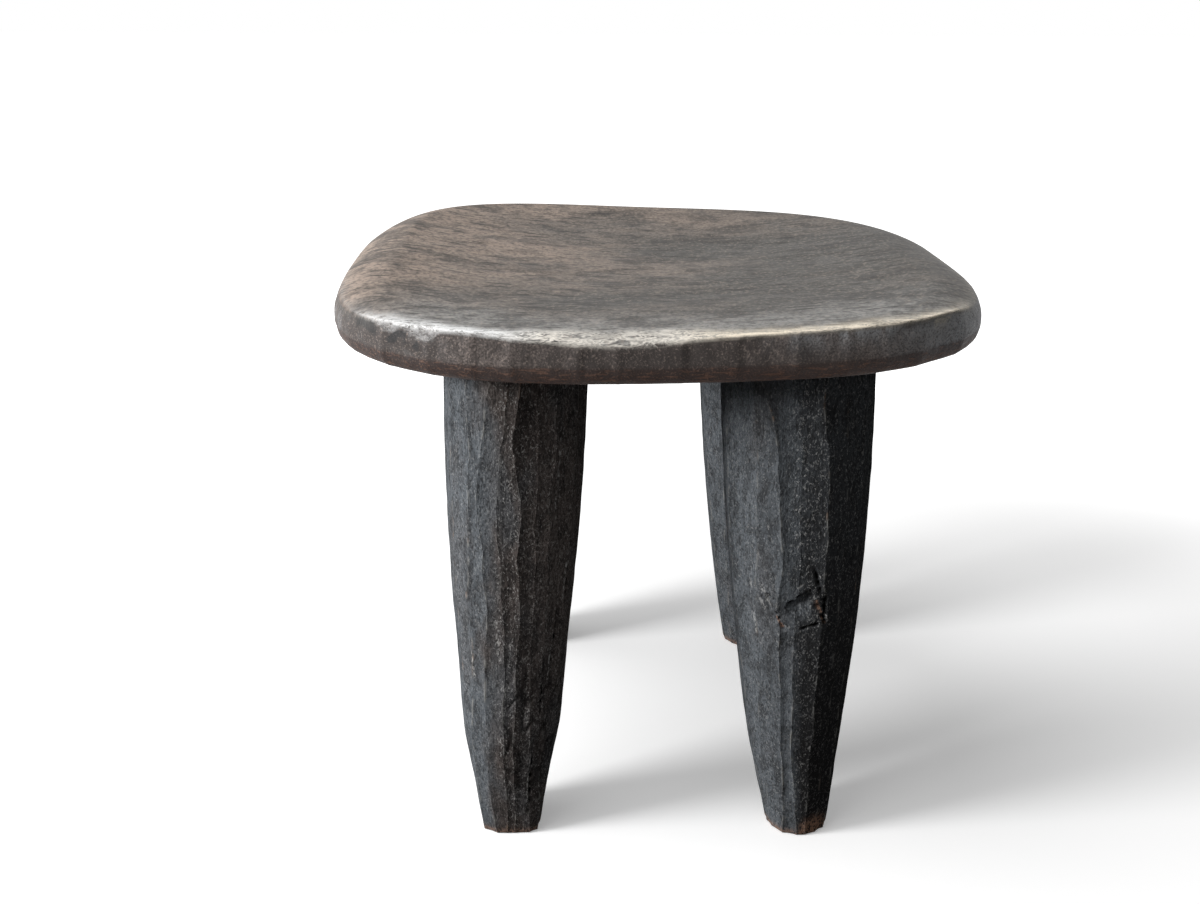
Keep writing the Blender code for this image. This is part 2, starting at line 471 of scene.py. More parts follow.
@dataclass(frozen=True)
class SeatWood:
    """Grey-brown wood of the seat, with its grain along X and burnished by use; a highlight, a sheen and
    shade are painted into its colour.
    """

    name: str = "seat_wood"
    warm: Colour = (0.298, 0.236, 0.194)
    cool: Colour = (0.097, 0.092, 0.085)
    smudge: Colour = (0.042, 0.039, 0.037)
    fleck: Colour = (0.420, 0.350, 0.285)
    # Paler grey of a sheen painted where the hollow climbs to the front rim.
    painted_sheen: Colour = (0.285, 0.281, 0.270)
    wall: Colour = (0.158, 0.132, 0.121)
    # Pale cool grey painted on the wall's ends as light.
    painted_wall_end_light: Colour = (0.420, 0.430, 0.450)
    # Dark of the wall: its specks, the underside's grain, and the painted shade that the shade mark blends
    # in.
    wall_dark: Colour = (0.046, 0.038, 0.035)
    wall_fleck: Colour = (0.380, 0.310, 0.270)
    # Near-black painted shade in the wall's notch and under its chips.
    notch: Colour = (0.010, 0.010, 0.011)
    # Dark red-brown of the lower edge: the raw wood's own colour, darkened further as painted shade.
    lower_edge: Colour = (0.016, 0.007, 0.005)
    lower_fleck: Colour = (0.250, 0.135, 0.092)
    underside: Colour = (0.050, 0.038, 0.031)
    # Silver and cream tan of the rim: pale worn wood, with a painted highlight on it.
    silver: Colour = (0.850, 0.850, 0.845)
    tan: Colour = (0.830, 0.740, 0.600)
    scuff: Colour = (0.340, 0.345, 0.355)

    cloud: Pattern = Pattern(0.070, (0.6, 1.0, 1.0), 0.53, 4.0)
    blotch: Pattern = Pattern(0.020, (0.55, 1.0, 0.3), 0.17, 6.0, 0.5)
    mottle: Pattern = Pattern(0.0070, (0.75, 0.8, 0.3), 0.71, 5.0, 0.3)
    grain: Pattern = Pattern(0.0017, (0.42, 0.7, 0.2), 0.31)
    grit: Pattern = Pattern(0.0015, (0.70, 0.55, 0.2), 0.47, 2.0)
    dash: Pattern = Pattern(0.0030, (0.18, 1.0, 0.3), 0.93)
    speck: Pattern = Pattern(0.0010, (0.90, 0.90, 1.0), 2.11)
    stain: Pattern = Pattern(0.010, (1.0, 1.0, 0.45), 2.61, 4.0)
    hair: Pattern = Pattern(0.0030, (0.28, 0.85, 1.0), 2.77, 3.0, 0.4)
    hatch: Pattern = Pattern(0.0024, (1.0, 1.0, 0.6), 3.37, 3.0, 0.6)
    streak: Pattern = Pattern(0.0013, (0.16, 0.5, 1.0), 3.91, 3.0, 0.3)
    gleam: Pattern = Pattern(0.0022, (0.12, 0.8, 1.0), 4.43, 3.0, 0.5)

    top_layers: Tuple[Layer, ...] = (
        Layer(blotch, 0.49, 0.62, 0.62, smudge),
        Layer(mottle, 0.52, 0.38, 0.36, smudge),
        Layer(grain, 0.54, 0.32, 0.42, smudge),
        Layer(grit, 0.50, 0.32, 0.50, smudge),
        Layer(grit, 0.52, 0.70, 0.24, fleck),
    )
    wall_layers: Tuple[Layer, ...] = (
        Layer(speck, 0.52, 0.36, 0.85, wall_dark),
        Layer(speck, 0.55, 0.67, 0.36, wall_fleck),
        Layer(hatch, 0.50, 0.36, 0.55, wall_dark),
    )
    lower_layers: Tuple[Layer, ...] = (
        Layer(speck, 0.54, 0.66, 0.25, lower_fleck),
        Layer(streak, 0.54, 0.66, 0.38, lower_fleck),
    )

    cool_clouds: Ramp = Ramp(0.35, 0.65, -0.22, 0.22)
    painted_sheen_share: float = 0.75
    dashes: Ramp = Ramp(0.55, 0.64)
    dash_clouds: Ramp = Ramp(0.32, 0.50)
    dash_share: float = 0.85
    wall_stains: Ramp = Ramp(0.36, 0.66, -0.28, 0.30)
    line_level: float = 0.56
    line_width: float = 0.05
    line_specks: Ramp = Ramp(0.46, 0.58, 0.0, 0.32)
    notch_shade: Ramp = Ramp(1.35, 2.25, 0.0, 0.86)
    scuff_stains: Ramp = Ramp(0.40, 0.56, 0.25, 1.0)
    scuff_specks: Ramp = Ramp(0.34, 0.56, 0.3, 1.0)
    under_specks: Ramp = Ramp(0.3, 0.7)
    fibres: Tuple[Span, ...] = ((0.43, 0.07), (0.57, 0.09))
    rim_specks: Ramp = Ramp(0.36, 0.64, -0.16, 0.16)
    rim_gleams: Ramp = Ramp(0.42, 0.58, -0.42, 0.32)
    tan_ground: Ramp = Ramp(0.0, 0.4, 0.80, 0.26)
    silver_ground: Ramp = Ramp(0.5, 1.0, 0.0, 0.38)
    matt_hairs: Ramp = Ramp(0.35, 0.65, 0.54, 0.46)
    wall_matt: float = 0.10
    rim_polish: float = 0.14
    hair_depth: float = 0.00012
    speck_depth: float = 0.0004
    top_specular: float = 0.08
    wall_specular: float = 0.22

    def top(self, sketch: NodeSketch) -> Feed:
        """Mottled colour of the hollow top, with a sheen painted where it climbs to the front rim.

        Args:
            sketch: The finish's nodes.

        Returns:
            The colour.
        """
        cloud = sketch.noise(self.cloud)
        cooler = sketch.join(Sum.ADD, sketch.mark("cool"), sketch.band(cloud, self.cool_clouds))
        bright = sketch.join(Sum.TIMES, sketch.mark("painted_sheen"), self.painted_sheen_share)
        dashes = sketch.band(sketch.noise(self.dash), self.dashes)
        dashes = sketch.join(Sum.TIMES, dashes, sketch.band(cloud, self.dash_clouds))
        colour = sketch.blend(sketch.band(cooler), self.warm, self.cool)
        colour = sketch.blend(bright, colour, self.painted_sheen)
        colour = sketch.lay(colour, self.top_layers)
        return sketch.blend(sketch.join(Sum.TIMES, dashes, self.dash_share), colour, self.smudge)

    def edge(self, sketch: NodeSketch) -> Feed:
        """Speckled colour of the hewn wall, with shade painted in its middle, at its left, in its notch and
        under its chips, paler ends painted as light, and redder towards the lower edge, which is darkened as
        painted shade too.

        Args:
            sketch: The finish's nodes.

        Returns:
            The colour.
        """
        speck = sketch.noise(self.speck)
        stain = sketch.noise(self.stain)
        # The wall's painted shade, broken up by the stain pattern.
        shade = sketch.join(Sum.ADD, sketch.mark("shade"), sketch.band(stain, self.wall_stains))
        lines = sketch.thread(sketch.noise(self.hatch), self.line_level, self.line_width)
        lines = sketch.join(Sum.TIMES, lines, sketch.band(speck, self.line_specks))
        scuff = sketch.join(Sum.TIMES, sketch.mark("scuff"), sketch.band(stain, self.scuff_stains))
        scuff = sketch.join(Sum.TIMES, scuff, sketch.band(speck, self.scuff_specks))
        # Paler ends of the wall, painted as light.
        colour = sketch.blend(sketch.mark("cool"), self.wall, self.painted_wall_end_light)
        # Painted shade on the wall.
        colour = sketch.blend(sketch.band(shade), colour, self.wall_dark)
        colour = sketch.lay(colour, self.wall_layers)
        colour = sketch.blend(lines, colour, self.wall_fleck)
        # Near-black painted shade where the shade mark runs deepest, in the notch and under the chips.
        colour = sketch.blend(sketch.band(shade, self.notch_shade), colour, self.notch)
        colour = sketch.blend(scuff, colour, self.scuff)
        # The lower edge: red-brown raw wood, darkened as painted shade.
        lower = sketch.lay(self.lower_edge, self.lower_layers)
        return sketch.blend(sketch.mark("lower_edge"), colour, lower)

    def rim(self, sketch: NodeSketch, silver: Socket) -> Socket:
        """How much of the burnish, with its painted highlight, shows on the rim: bright fibres on a streaky
        ground.

        Args:
            sketch: The finish's nodes.
            silver: How silvery the burnish is.

        Returns:
            The share of the burnish.
        """
        hair = sketch.noise(self.hair)
        ground = sketch.band(sketch.noise(self.speck), self.rim_specks)
        gleam = sketch.band(sketch.noise(self.gleam), self.rim_gleams)
        for more in (gleam, sketch.band(silver, self.tan_ground), sketch.band(silver, self.silver_ground)):
            ground = sketch.join(Sum.ADD, ground, more)
        for level, width in self.fibres:
            ground = sketch.join(Sum.MORE, ground, sketch.thread(hair, level, width))
        return sketch.join(Sum.TIMES, sketch.mark("rim"), ground)

    def material(self) -> bpy.types.Material:
        """Draw the nodes of the finish.

        Returns:
            The finished material.
        """
        sketch = NodeSketch(bpy.data.materials.new(self.name))
        speck = sketch.noise(self.speck)
        hair = sketch.noise(self.hair)
        wall = sketch.mark("wall")
        silver = sketch.mark("silver")
        rim = self.rim(sketch, silver)
        below = sketch.blend(sketch.band(speck, self.under_specks), self.wall_dark, self.underside)
        colour = sketch.blend(wall, self.top(sketch), self.edge(sketch))
        colour = sketch.blend(sketch.mark("underside"), colour, below)
        # The rim's burnish and painted highlight, laid over the wood.
        colour = sketch.blend(rim, colour, sketch.blend(silver, self.tan, self.silver))
        matt = sketch.band(hair, self.matt_hairs)
        matt = sketch.join(Sum.ADD, matt, sketch.join(Sum.TIMES, wall, self.wall_matt))
        matt = sketch.join(Sum.TAKE, matt, sketch.join(Sum.TIMES, rim, self.rim_polish))
        shine = Ramp(least=self.top_specular, most=self.wall_specular)
        shine = sketch.band(sketch.join(Sum.MORE, wall, rim), shine)
        normal = sketch.relief(hair, self.hair_depth)
        normal = sketch.relief(sketch.join(Sum.TIMES, speck, wall), self.speck_depth, normal)
        sketch.finish(colour, matt, shine, normal)
        return sketch.owner


@dataclass(frozen=True)
class LegWood:
    """Charcoal-dark wood of the legs, with its grain along Z and open pores; light and shade are painted
    into its colour.
    """

    name: str = "leg_wood"
    # Near-black: dark patches of the grain, dark pore lines, and the painted shade on a leg's lee side.
    dark: Colour = (0.022, 0.021, 0.021)
    # The lit side's cooler, paler colour and the shaded side's warmer, darker one: painted light and shade.
    cool: Colour = (0.133, 0.146, 0.160)
    warm: Colour = (0.118, 0.099, 0.091)
    # Paler warm colour painted as light on a leg's lee side.
    painted_lee_light: Colour = (0.215, 0.180, 0.165)
    pore: Colour = (0.780, 0.765, 0.740)
    crest: Colour = (0.300, 0.295, 0.280)
    tan: Colour = (0.330, 0.225, 0.160)
    raw: Colour = (0.400, 0.235, 0.160)
    # Near-black shade painted in cuts and furrows.
    crevice_shade: Colour = (0.003, 0.003, 0.003)

    cloud: Pattern = Pattern(0.024, (1.0, 1.0, 0.40), 0.67, 4.0)
    patch: Pattern = Pattern(0.0060, (1.0, 1.0, 0.45), 0.23, 4.0, 0.4)
    grit: Pattern = Pattern(0.0011, (1.0, 1.0, 0.60), 1.13, 3.0, 0.5)
    fibre: Pattern = Pattern(0.0009, (1.0, 1.0, 0.14), 0.41, 2.0)
    curl: Pattern = Pattern(0.0024, (1.0, 1.0, 0.60), 1.71, 2.0, 1.2)
    ragged: Pattern = Pattern(0.006, (1.0, 1.0, 0.6), 2.29, 5.0)

    dark_layers: Tuple[Layer, ...] = (
        Layer(patch, 0.56, 0.36, 0.48, dark),
        Layer(fibre, 0.54, 0.34, 0.28, dark),
        Layer(grit, 0.50, 0.34, 0.62, dark),
    )

    warm_clouds: Ramp = Ramp(0.35, 0.65, -0.3, 0.3)
    open_pores: Ramp = Ramp(0.0, 1.0, 0.20, 0.56)
    pore_level: float = 0.53
    pore_width: float = 0.045
    pore_grit: Ramp = Ramp(0.47, 0.59)
    hollow_level: float = 0.43
    hollow_width: float = 0.06
    tan_clouds: Ramp = Ramp(0.58, 0.66)
    ragged_crest: Ramp = Ramp(0.50, 0.62)
    crest_share: float = 0.6
    torn_grit: Ramp = Ramp(0.40, 0.56)
    raw_grit: Ramp = Ramp(0.38, 0.54)
    matt_clouds: Ramp = Ramp(0.35, 0.65, 0.62, 0.50)
    fibre_relief: float = 0.5
    pore_relief: float = 0.4
    relief_depth: float = 0.0004
    specular: float = 0.0

    def worn(self, sketch: NodeSketch, colour: Feed) -> Feed:
        """Lay the worn, torn and cut places over the wood, with shade painted in the crevices.

        Args:
            sketch: The finish's nodes.
            colour: The colour of the wood.

        Returns:
            The colour with its wear.
        """
        grit = sketch.noise(self.grit)
        tan = sketch.band(sketch.noise(self.cloud), self.tan_clouds)
        crest = sketch.band(sketch.noise(self.ragged), self.ragged_crest)
        crest = sketch.join(Sum.TIMES, sketch.mark("crest"), crest)
        crest = sketch.join(Sum.TIMES, crest, self.crest_share)
        torn = sketch.join(Sum.TIMES, sketch.mark("pale"), sketch.band(grit, self.torn_grit))
        raw = sketch.join(Sum.TIMES, sketch.mark("raw"), sketch.band(grit, self.raw_grit))
        colour = sketch.blend(crest, colour, sketch.blend(tan, self.crest, self.tan))
        colour = sketch.blend(torn, colour, self.pore)
        colour = sketch.blend(raw, colour, self.raw)
        # Shade painted in the crevices.
        return sketch.blend(sketch.mark("crevice_shade"), colour, self.crevice_shade)

    def material(self) -> bpy.types.Material:
        """Draw the nodes of the finish.

        Returns:
            The finished material.
        """
        sketch = NodeSketch(bpy.data.materials.new(self.name))
        cloud = sketch.noise(self.cloud)
        grit = sketch.noise(self.grit)
        curl = sketch.noise(self.curl)
        rough = sketch.band(sketch.mark("rough"), self.open_pores)
        pore = sketch.thread(curl, self.pore_level, self.pore_width)
        pore = sketch.join(Sum.TIMES, pore, sketch.band(grit, self.pore_grit))
        pore = sketch.join(Sum.TIMES, pore, rough)
        hollow = sketch.thread(curl, self.hollow_level, self.hollow_width)
        hollow = sketch.join(Sum.TIMES, hollow, rough)
        # Warmer on the shaded side as painted shade, with random warm clouds.
        warmth = sketch.join(Sum.ADD, sketch.mark("warm"), sketch.band(cloud, self.warm_clouds))
        colour = sketch.blend(sketch.band(warmth), self.cool, self.warm)
        # Light painted on the lee side.
        colour = sketch.blend(sketch.mark("painted_lee_light"), colour, self.painted_lee_light)
        # Shade painted on the lee side and on one lit facet.
        colour = sketch.blend(sketch.mark("painted_lee_shade"), colour, self.dark)
        colour = sketch.lay(colour, self.dark_layers)
        colour = sketch.blend(hollow, colour, self.dark)
        colour = sketch.blend(pore, colour, self.pore)
        fibres = sketch.join(Sum.TIMES, sketch.noise(self.fibre), self.fibre_relief)
        relief = sketch.join(Sum.ADD, fibres, grit)
        relief = sketch.join(Sum.ADD, relief, sketch.join(Sum.TIMES, pore, self.pore_relief))
        matt = sketch.band(cloud, self.matt_clouds)
        normal = sketch.relief(relief, self.relief_depth)
        sketch.finish(self.worn(sketch, colour), matt, self.specular, normal)
        return sketch.owner


class Corner(Enum):
    """A corner of the seat, by its angle in plan."""

    REAR_RIGHT = 45.0
    REAR_LEFT = 135.0
    FRONT_LEFT = 225.0
    FRONT_RIGHT = 315.0


def corner_squareness() -> Dict[Corner, float]:
    """How square each corner is in plan: 2 is an ellipse, more is squarer."""
    return {
        Corner.REAR_RIGHT: 2.85,
        Corner.REAR_LEFT: 2.92,
        Corner.FRONT_LEFT: 2.99,
        Corner.FRONT_RIGHT: 3.76,
    }


@dataclass
class EdgeLine:
    """The seat's outline at a set of angles, with what its edge measures there."""

    angle: Array
    radius: Array
    rim_height: Array
    rim_reach: Array
    rim_drop: Array
    front: Array
    crisp: Array
    lower_height: Array
    bevel_reach: Array
    arris_drop: Array
    chip: Array
    arris_share: float = 0.6
    arris_inset: float = 0.0011
    soft_wall: float = 0.42
    hard_wall: float = 0.1

    def points(self, inset: Array, height: Array) -> Array:
        """Points that lie in from the outline by some way, at some height."""
        plan = (self.radius - inset)[:, None] * ways_in_plan(self.angle)
        return np.concatenate([plan, (height + np.zeros_like(self.radius))[:, None]], axis=-1)

    def roll(self, share: float) -> Array:
        """Points on the rim, which is a soft roll, or where it is crisp a bevel with an arris.

        Args:
            share: How far down the rim, from 0 on its crown to 1 on the upright wall.

        Returns:
            The points.
        """
        turn = math.radians(90.0 * share)
        soft_inset = self.rim_reach * (1.0 - math.sin(turn))
        soft_drop = self.rim_drop * (1.0 - math.cos(turn))
        bevel = min(1.0, share / self.arris_share)
        upright = max(0.0, (share - self.arris_share) / (1.0 - self.arris_share))
        hard_inset = self.rim_reach * (1.0 - bevel) + self.arris_inset * bevel * (1.0 - upright) ** 2
        hard_drop = self.arris_drop * bevel ** 2 + (self.rim_drop - self.arris_drop) * upright
        inset = soft_inset + (hard_inset - soft_inset) * self.crisp
        drop = soft_drop + (hard_drop - soft_drop) * self.crisp
        return self.points(inset, self.rim_height - drop)

    def arris(self) -> Array:
        """Points on the rim's arris."""
        return self.roll(self.arris_share)

    def wall_share(self, share: float) -> Array:
        """How much of the rim is hewn wall, at a share of the way down it."""
        soft = smooth_step(np.array(share), self.soft_wall, 1.0)
        hard = smooth_step(np.array(share), self.arris_share, self.arris_share + self.hard_wall)
        return soft + (hard - soft) * self.crisp ** 2


@dataclass(frozen=True)
class RimWearAndHighlight:
    """Where use has burnished the seat's rim, and where a highlight is painted along its arris and on its
    chips.
    """

    silver: Arc = Arc(223.0, 250.0, 9.0)
    grey: Arc = Arc(190.0, 250.0, 9.0)
    wide: Arc = Arc(223.0, 275.5, 7.0)
    wide_silver: float = 0.45
    narrow_width: float = 0.0044
    wide_width: float = 0.0105
    wall_width: float = 0.0017
    narrow_wall: float = 0.55
    least_width: float = 0.0008
    wander: Ripples = Ripples(0.14, 0.020, 28)
    softness: float = 1.5
    rear_strength: float = 0.12
    wide_strength: float = 0.8
    corner_strength: float = 0.72
    corner_span: Span = (222.0, 234.0)
    chip_strength: float = 0.26
    chip_slack: float = 0.0012
    chip_fade: float = 0.0008

    def marks(self, points: Array, line: EdgeLine, chip_slope: float) -> Dict[str, Array]:
        """How far the rim is burnished and painted with a highlight, and how silvery that is.

        Args:
            points: The seat's points.
            line: The seat's edge at their angles.
            chip_slope: How far a chip runs in for each unit of its height.

        Returns:
            The marks by name.
        """
        arris = line.arris()
        below = arris[:, 2] - points[:, 2]
        wide = self.wide.share(line.angle)
        bright = self.silver.share(line.angle)
        edge = np.linalg.norm(arris[:, :2], axis=1) - chip_slope * line.chip - self.chip_slack
        outside = (below > 0.0) & (np.linalg.norm(points[:, :2], axis=1) > edge)
        top_width = self.narrow_width + (self.wide_width - self.narrow_width) * wide
        top_width = top_width * (1.0 + self.wander.height(points))
        wall_width = self.wall_width * (self.narrow_wall + (1.0 - self.narrow_wall) * wide)
        width = np.maximum(np.where(outside, wall_width, top_width), self.least_width)
        front = self.rear_strength + (1.0 - self.rear_strength) * line.front
        strength = front * (1.0 - wide) + wide * (self.wide_strength + (1.0 - self.wide_strength) * bright)
        corner = smooth_step(line.angle % 360.0, *self.corner_span)
        strength = strength * (self.corner_strength + (1.0 - self.corner_strength) * corner)
        away = np.linalg.norm(points - arris, axis=-1)
        worn = strength * np.exp(-((away / width) ** (self.softness * (1.0 + wide))))
        chipped = self.chip_strength * smooth_step(line.chip - below, 0.0, self.chip_fade)
        return {
            "rim": np.where(outside, np.maximum(worn, chipped), worn),
            "silver": np.maximum(self.grey.share(line.angle), self.wide_silver * wide),
        }


@dataclass(frozen=True)
class WallWear:
    """Where the seat's wall is scuffed grey, and where shade is painted in its notch and under its chips."""

    scuff: Arc = Arc(291.0, 318.0, 8.0)
    scuff_reach: float = 0.0075
    notch: Arc = Arc(306.5, 314.0, 1.0)
    notch_drop: float = 0.0020
    notch_clear: float = 0.7
    scallops: Tuple[Arc, ...] = (Arc(217.0, 223.0, 0.8), Arc(225.4, 232.0, 0.8))
    scallop_edge: float = 0.0006
    scallop_full: float = 0.0025
    scallop_drop: float = 0.0095
    ragged: Ripples = Ripples(1.0, 0.0060, 30)
    ragged_span: Span = (-1.5, -0.1)

    def marks(self, points: Array, line: EdgeLine) -> Tuple[Array, Array]:
        """How far the wall is worn below the arris.

        Args:
            points: The seat's points.
            line: The seat's edge at their angles.

        Returns:
            How scuffed each point is, and how deep it lies in the painted shade of a notch or under a chip.
        """
        below = line.arris()[:, 2] - points[:, 2]
        scuffed = self.scuff.share(line.angle) * bump(below, self.scuff_reach)
        notched = self.notch.share(line.angle) * bump(below, self.notch_drop, self.notch_drop)
        past = below - line.chip
        scallop = smooth_step(past, 0.0, self.scallop_edge)
        scallop = scallop * smooth_step(-past, -self.scallop_drop, -self.scallop_full)
        scallop = scallop * smooth_step(self.ragged.height(points), *self.ragged_span)
        # Where shade is painted: in the notch and under the chips.
        deep = notched
        for arc in self.scallops:
            deep = np.maximum(deep, scallop * arc.share(line.angle))
        return scuffed * (1.0 - self.notch_clear * notched), deep


@dataclass(frozen=True)
class SeatTones:
    """Where the seat's wood is cooler, where shade is painted on its wall and where it is painted bright,
    from -1 at its left to 1 at its right.
    """

    cool_middle: float = 0.38
    cool_right: float = 0.62
    cool_front: float = 0.54
    cool_hollow: float = 0.36
    front_span: Span = (0.2, 0.75)
    painted_light_ends: Span = (0.52, 0.86)
    shade_middle: float = -0.01
    shade_spread: float = 0.48
    left_shade: float = 0.9
    left_span: Span = (0.42, 0.72)
    deep_shade: float = 1.8
    # Where a sheen is painted on the top, near the front rim.
    painted_sheen: Arc = Arc(220.0, 319.0, 14.0)
    painted_sheen_span: Span = (0.66, 0.95)

    def cool(self, across: Array, along: Array, climb: Array, wall: Array) -> Array:
        """How cool the wood is.

        Args:
            across: Place from the seat's left to its right.
            along: Place from its front to its rear.
            climb: Share of the way from its middle to its rim.
            wall: How much of each point is wall.

        Returns:
            The coolness of each point.
        """
        front = smooth_step(-along, *self.front_span)
        top = self.cool_middle + self.cool_right * across + self.cool_front * front
        top = np.clip(top + self.cool_hollow * (1.0 - climb ** 2), 0.0, 1.0)
        # On the wall the ends are painted paler and cooler as light.
        return np.where(wall > 0.5, smooth_step(np.abs(across), *self.painted_light_ends), top)

    def shade(self, across: Array, deep: Array) -> Array:
        """How dark the wall is painted as shade: in its middle, at its left and where it is cut back."""
        middle = bump(across, self.shade_spread, self.shade_middle)
        left = self.left_shade * smooth_step(-across, *self.left_span)
        return middle + left + self.deep_shade * deep


@dataclass
class Seat:
    """The hollowed seat with its rolled rim, hewn wall and adzed underside."""

    node: str = "seat"
    slot: str = "seat_wood"
    edge_height: float = 0.031
    dish_depth: float = 0.008
    rear_rise: float = 0.0054
    rim_twist: float = 0.0051
    rim_bow: float = 0.0048
    rim_reach: float = 0.0095
    end_reach: float = 0.0235
    rim_drop: float = 0.011
    end_rounding: float = 0.9
    under_reach: float = 0.0065
    under_rise: float = 0.0085
    bevel_least: float = 0.002
    bevel_run: float = 2.2
    end_lift: float = 0.0051
    lift_tilt: float = 0.0035
    squareness: Dict[Corner, float] = field(default_factory=corner_squareness)
    crisp: Arc = Arc(220.0, 319.0, 7.0)
    rear_crisp: float = 0.3
    arris_drop: float = 0.0012
    dip_angle: float = 263.0
    dip_spread: float = 13.0
    dip_drop: float = 0.0034
    lift_angle: float = 239.0
    lift_spread: float = 6.5
    arris_lift: float = 0.0021
    chip_angles: Tuple[float, ...] = (221.0, 222.5, 224.0, 226.0, 228.1, 231.4, 233.0, 234.2, 235.2)
    chip_heights: Tuple[float, ...] = (0.0, 0.0028, 0.0042, 0.0062, 0.0026, 0.0066, 0.0070, 0.0060, 0.0)
    chip_slope: float = 0.40
    facet_width: Span = (0.014, 0.038)
    facet_depth: Span = (0.6, 1.5)
    facet_inset: float = 0.0005
    facet_tilt: float = 0.016
    facet_fade: float = 0.08
    end_smoothing: float = 0.65
    end_span: Span = (0.76, 0.92)
    wall_rough: Ripples = Ripples(0.00012, 0.010, 26)
    # Share of the lower edge's colour, raw wood darkened as painted shade, at the foot of the wall.
    low_wood_and_shade: float = 0.8
    low_power: int = 5
    low_fade: float = 0.4
    under_hewn: float = 0.5
    dish_ripples: Tuple[Ripples, ...] = (
        Ripples(0.00032, 0.045, 22, (0.45, 1.0, 1.0)),
        Ripples(0.00010, 0.014, 23, (0.45, 1.0, 1.0)),
    )
    dish_power: int = 6
    adze_strokes: Tuple[Ripples, ...] = (
        Ripples(0.00045, 0.034, 24, (1.0, 0.5, 1.0)),
        Ripples(0.00027, 0.012, 25, (1.0, 0.3, 1.0)),
    )
    adze_border: float = 0.12
    underside_border: float = 0.03
    rim_wear_and_highlight: RimWearAndHighlight = RimWearAndHighlight()
    wall_wear: WallWear = WallWear()
    tones: SeatTones = SeatTones()
    grid: int = 160
    roll_steps: int = 20
    wall_steps: int = 12
    edge_steps: int = 7
    bevel_steps: int = 4
    seed: int = 21

    def __post_init__(self) -> None:
        """Take the seat's place and spread from its node in the frame."""
        low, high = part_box(self.node)
        self.half_width = (high.x - low.x) / 2.0
        self.half_depth = (high.y - low.y) / 2.0
        self.base = low.z

    def outline(self, angle: Array) -> Array:
        """Distance from the seat's middle to its edge.

        Args:
            angle: Angles in plan.

        Returns:
            The distance at each angle.
        """
        total = np.zeros_like(angle)
        weights = np.zeros_like(angle)
        for corner, value in self.squareness.items():
            weight = np.maximum(0.0, np.cos(np.radians(angle - corner.value))) ** 2
            total += weight * value
            weights += weight
        power = total / weights
        across = np.abs(np.cos(np.radians(angle)) / self.half_width) ** power
        along = np.abs(np.sin(np.radians(angle)) / self.half_depth) ** power
        return (across + along) ** (-1.0 / power)

    def edge_line(self, angle: Array) -> EdgeLine:
        """Measure the seat's edge.

        Args:
            angle: Angles in plan.

        Returns:
            The outline and what the edge measures at each angle.
        """
        radius = self.outline(angle)
        across = radius * np.cos(np.radians(angle)) / self.half_width
        along = radius * np.sin(np.radians(angle)) / self.half_depth
        rim = self.edge_height + self.rear_rise * along
        rim += self.rim_bow * across ** 2 - self.rim_twist * across * along
        lower = self.end_lift * across ** 2 + self.lift_tilt * across
        wall = rim - lower - self.rim_drop - self.under_rise
        front = self.crisp.share(angle)
        arris = self.arris_drop + self.dip_drop * bump(angle_between(self.dip_angle, angle), self.dip_spread)
        arris -= self.arris_lift * bump(angle_between(self.lift_angle, angle), self.lift_spread)
        return EdgeLine(
            angle=angle,
            radius=radius,
            rim_height=rim,
            rim_reach=self.rim_reach + self.end_reach * across ** 4,
            rim_drop=self.rim_drop + self.end_rounding * wall * across ** 4,
            front=front,
            crisp=self.rear_crisp + (1.0 - self.rear_crisp) * front,
            lower_height=lower,
            bevel_reach=self.under_reach + self.bevel_least + self.bevel_run * np.maximum(0.0, lower),
            arris_drop=arris,
            chip=np.interp(angle % 360.0, self.chip_angles, self.chip_heights),
        )

    def facet_sag(self, angle: Array) -> Array:
        """How far the hewn facets of the wall lie inside the smooth outline.

        Args:
            angle: Angles in plan, rising round the seat.

        Returns:
            The depth of the facets at each angle.
        """
        draw = np.random.default_rng(self.seed)
        corners = [0.0]
        while corners[-1] < 360.0:
            width = draw.uniform(*self.facet_width)
            reach = float(self.outline(np.array([corners[-1]]))[0])
            corners.append(corners[-1] + math.degrees(width / reach))
        corners[-1] = 360.0
        starts = np.array(corners[:-1])
        ends = np.array(corners[1:])
        depth = draw.uniform(*self.facet_depth, len(starts))
        inset = draw.uniform(0.0, self.facet_inset, len(starts))
        tilt = draw.uniform(-self.facet_tilt, self.facet_tilt, len(starts))
        turn = angle % 360.0
        which = np.clip(np.searchsorted(starts, turn, side="right") - 1, 0, len(starts) - 1)
        first = self.outline(starts[which])
        second = self.outline(ends[which])
        whole = np.radians(ends[which] - starts[which])
        part = np.radians(turn - starts[which])
        chord = first * second * np.sin(whole)
        chord /= first * np.sin(part) + second * np.sin(whole - part)
        share = part / whole
        edges = smooth_step(np.minimum(share, 1.0 - share), 0.0, self.facet_fade)
        slope = (tilt[which] * (share - 0.5) + np.abs(tilt[which]) / 2.0) * whole * first
        return (self.outline(angle) - chord) * depth[which] + (inset[which] + slope) * edges

    def disc(self) -> Tuple[Array, Array]:
        """A square grid of points wrapped into a disc.

        Returns:
            Each point's share of the way from the middle to the rim, and its angle.
        """
        side = np.linspace(-1.0, 1.0, self.grid + 1)
        across, along = np.meshgrid(side, side, indexing="ij")
        share = np.maximum(np.abs(across), np.abs(along))
        wide = np.abs(across) >= np.abs(along)
        longer = np.where(wide, across, along)
        shorter = np.where(wide, along, across)
        lean = 45.0 * shorter / np.where(longer == 0.0, 1.0, longer)
        sideways = np.where(across < 0.0, 180.0, 0.0) + lean
        lengthways = np.where(along < 0.0, 270.0, 90.0) - lean
        return share.reshape(-1), np.where(wide, sideways, lengthways).reshape(-1)

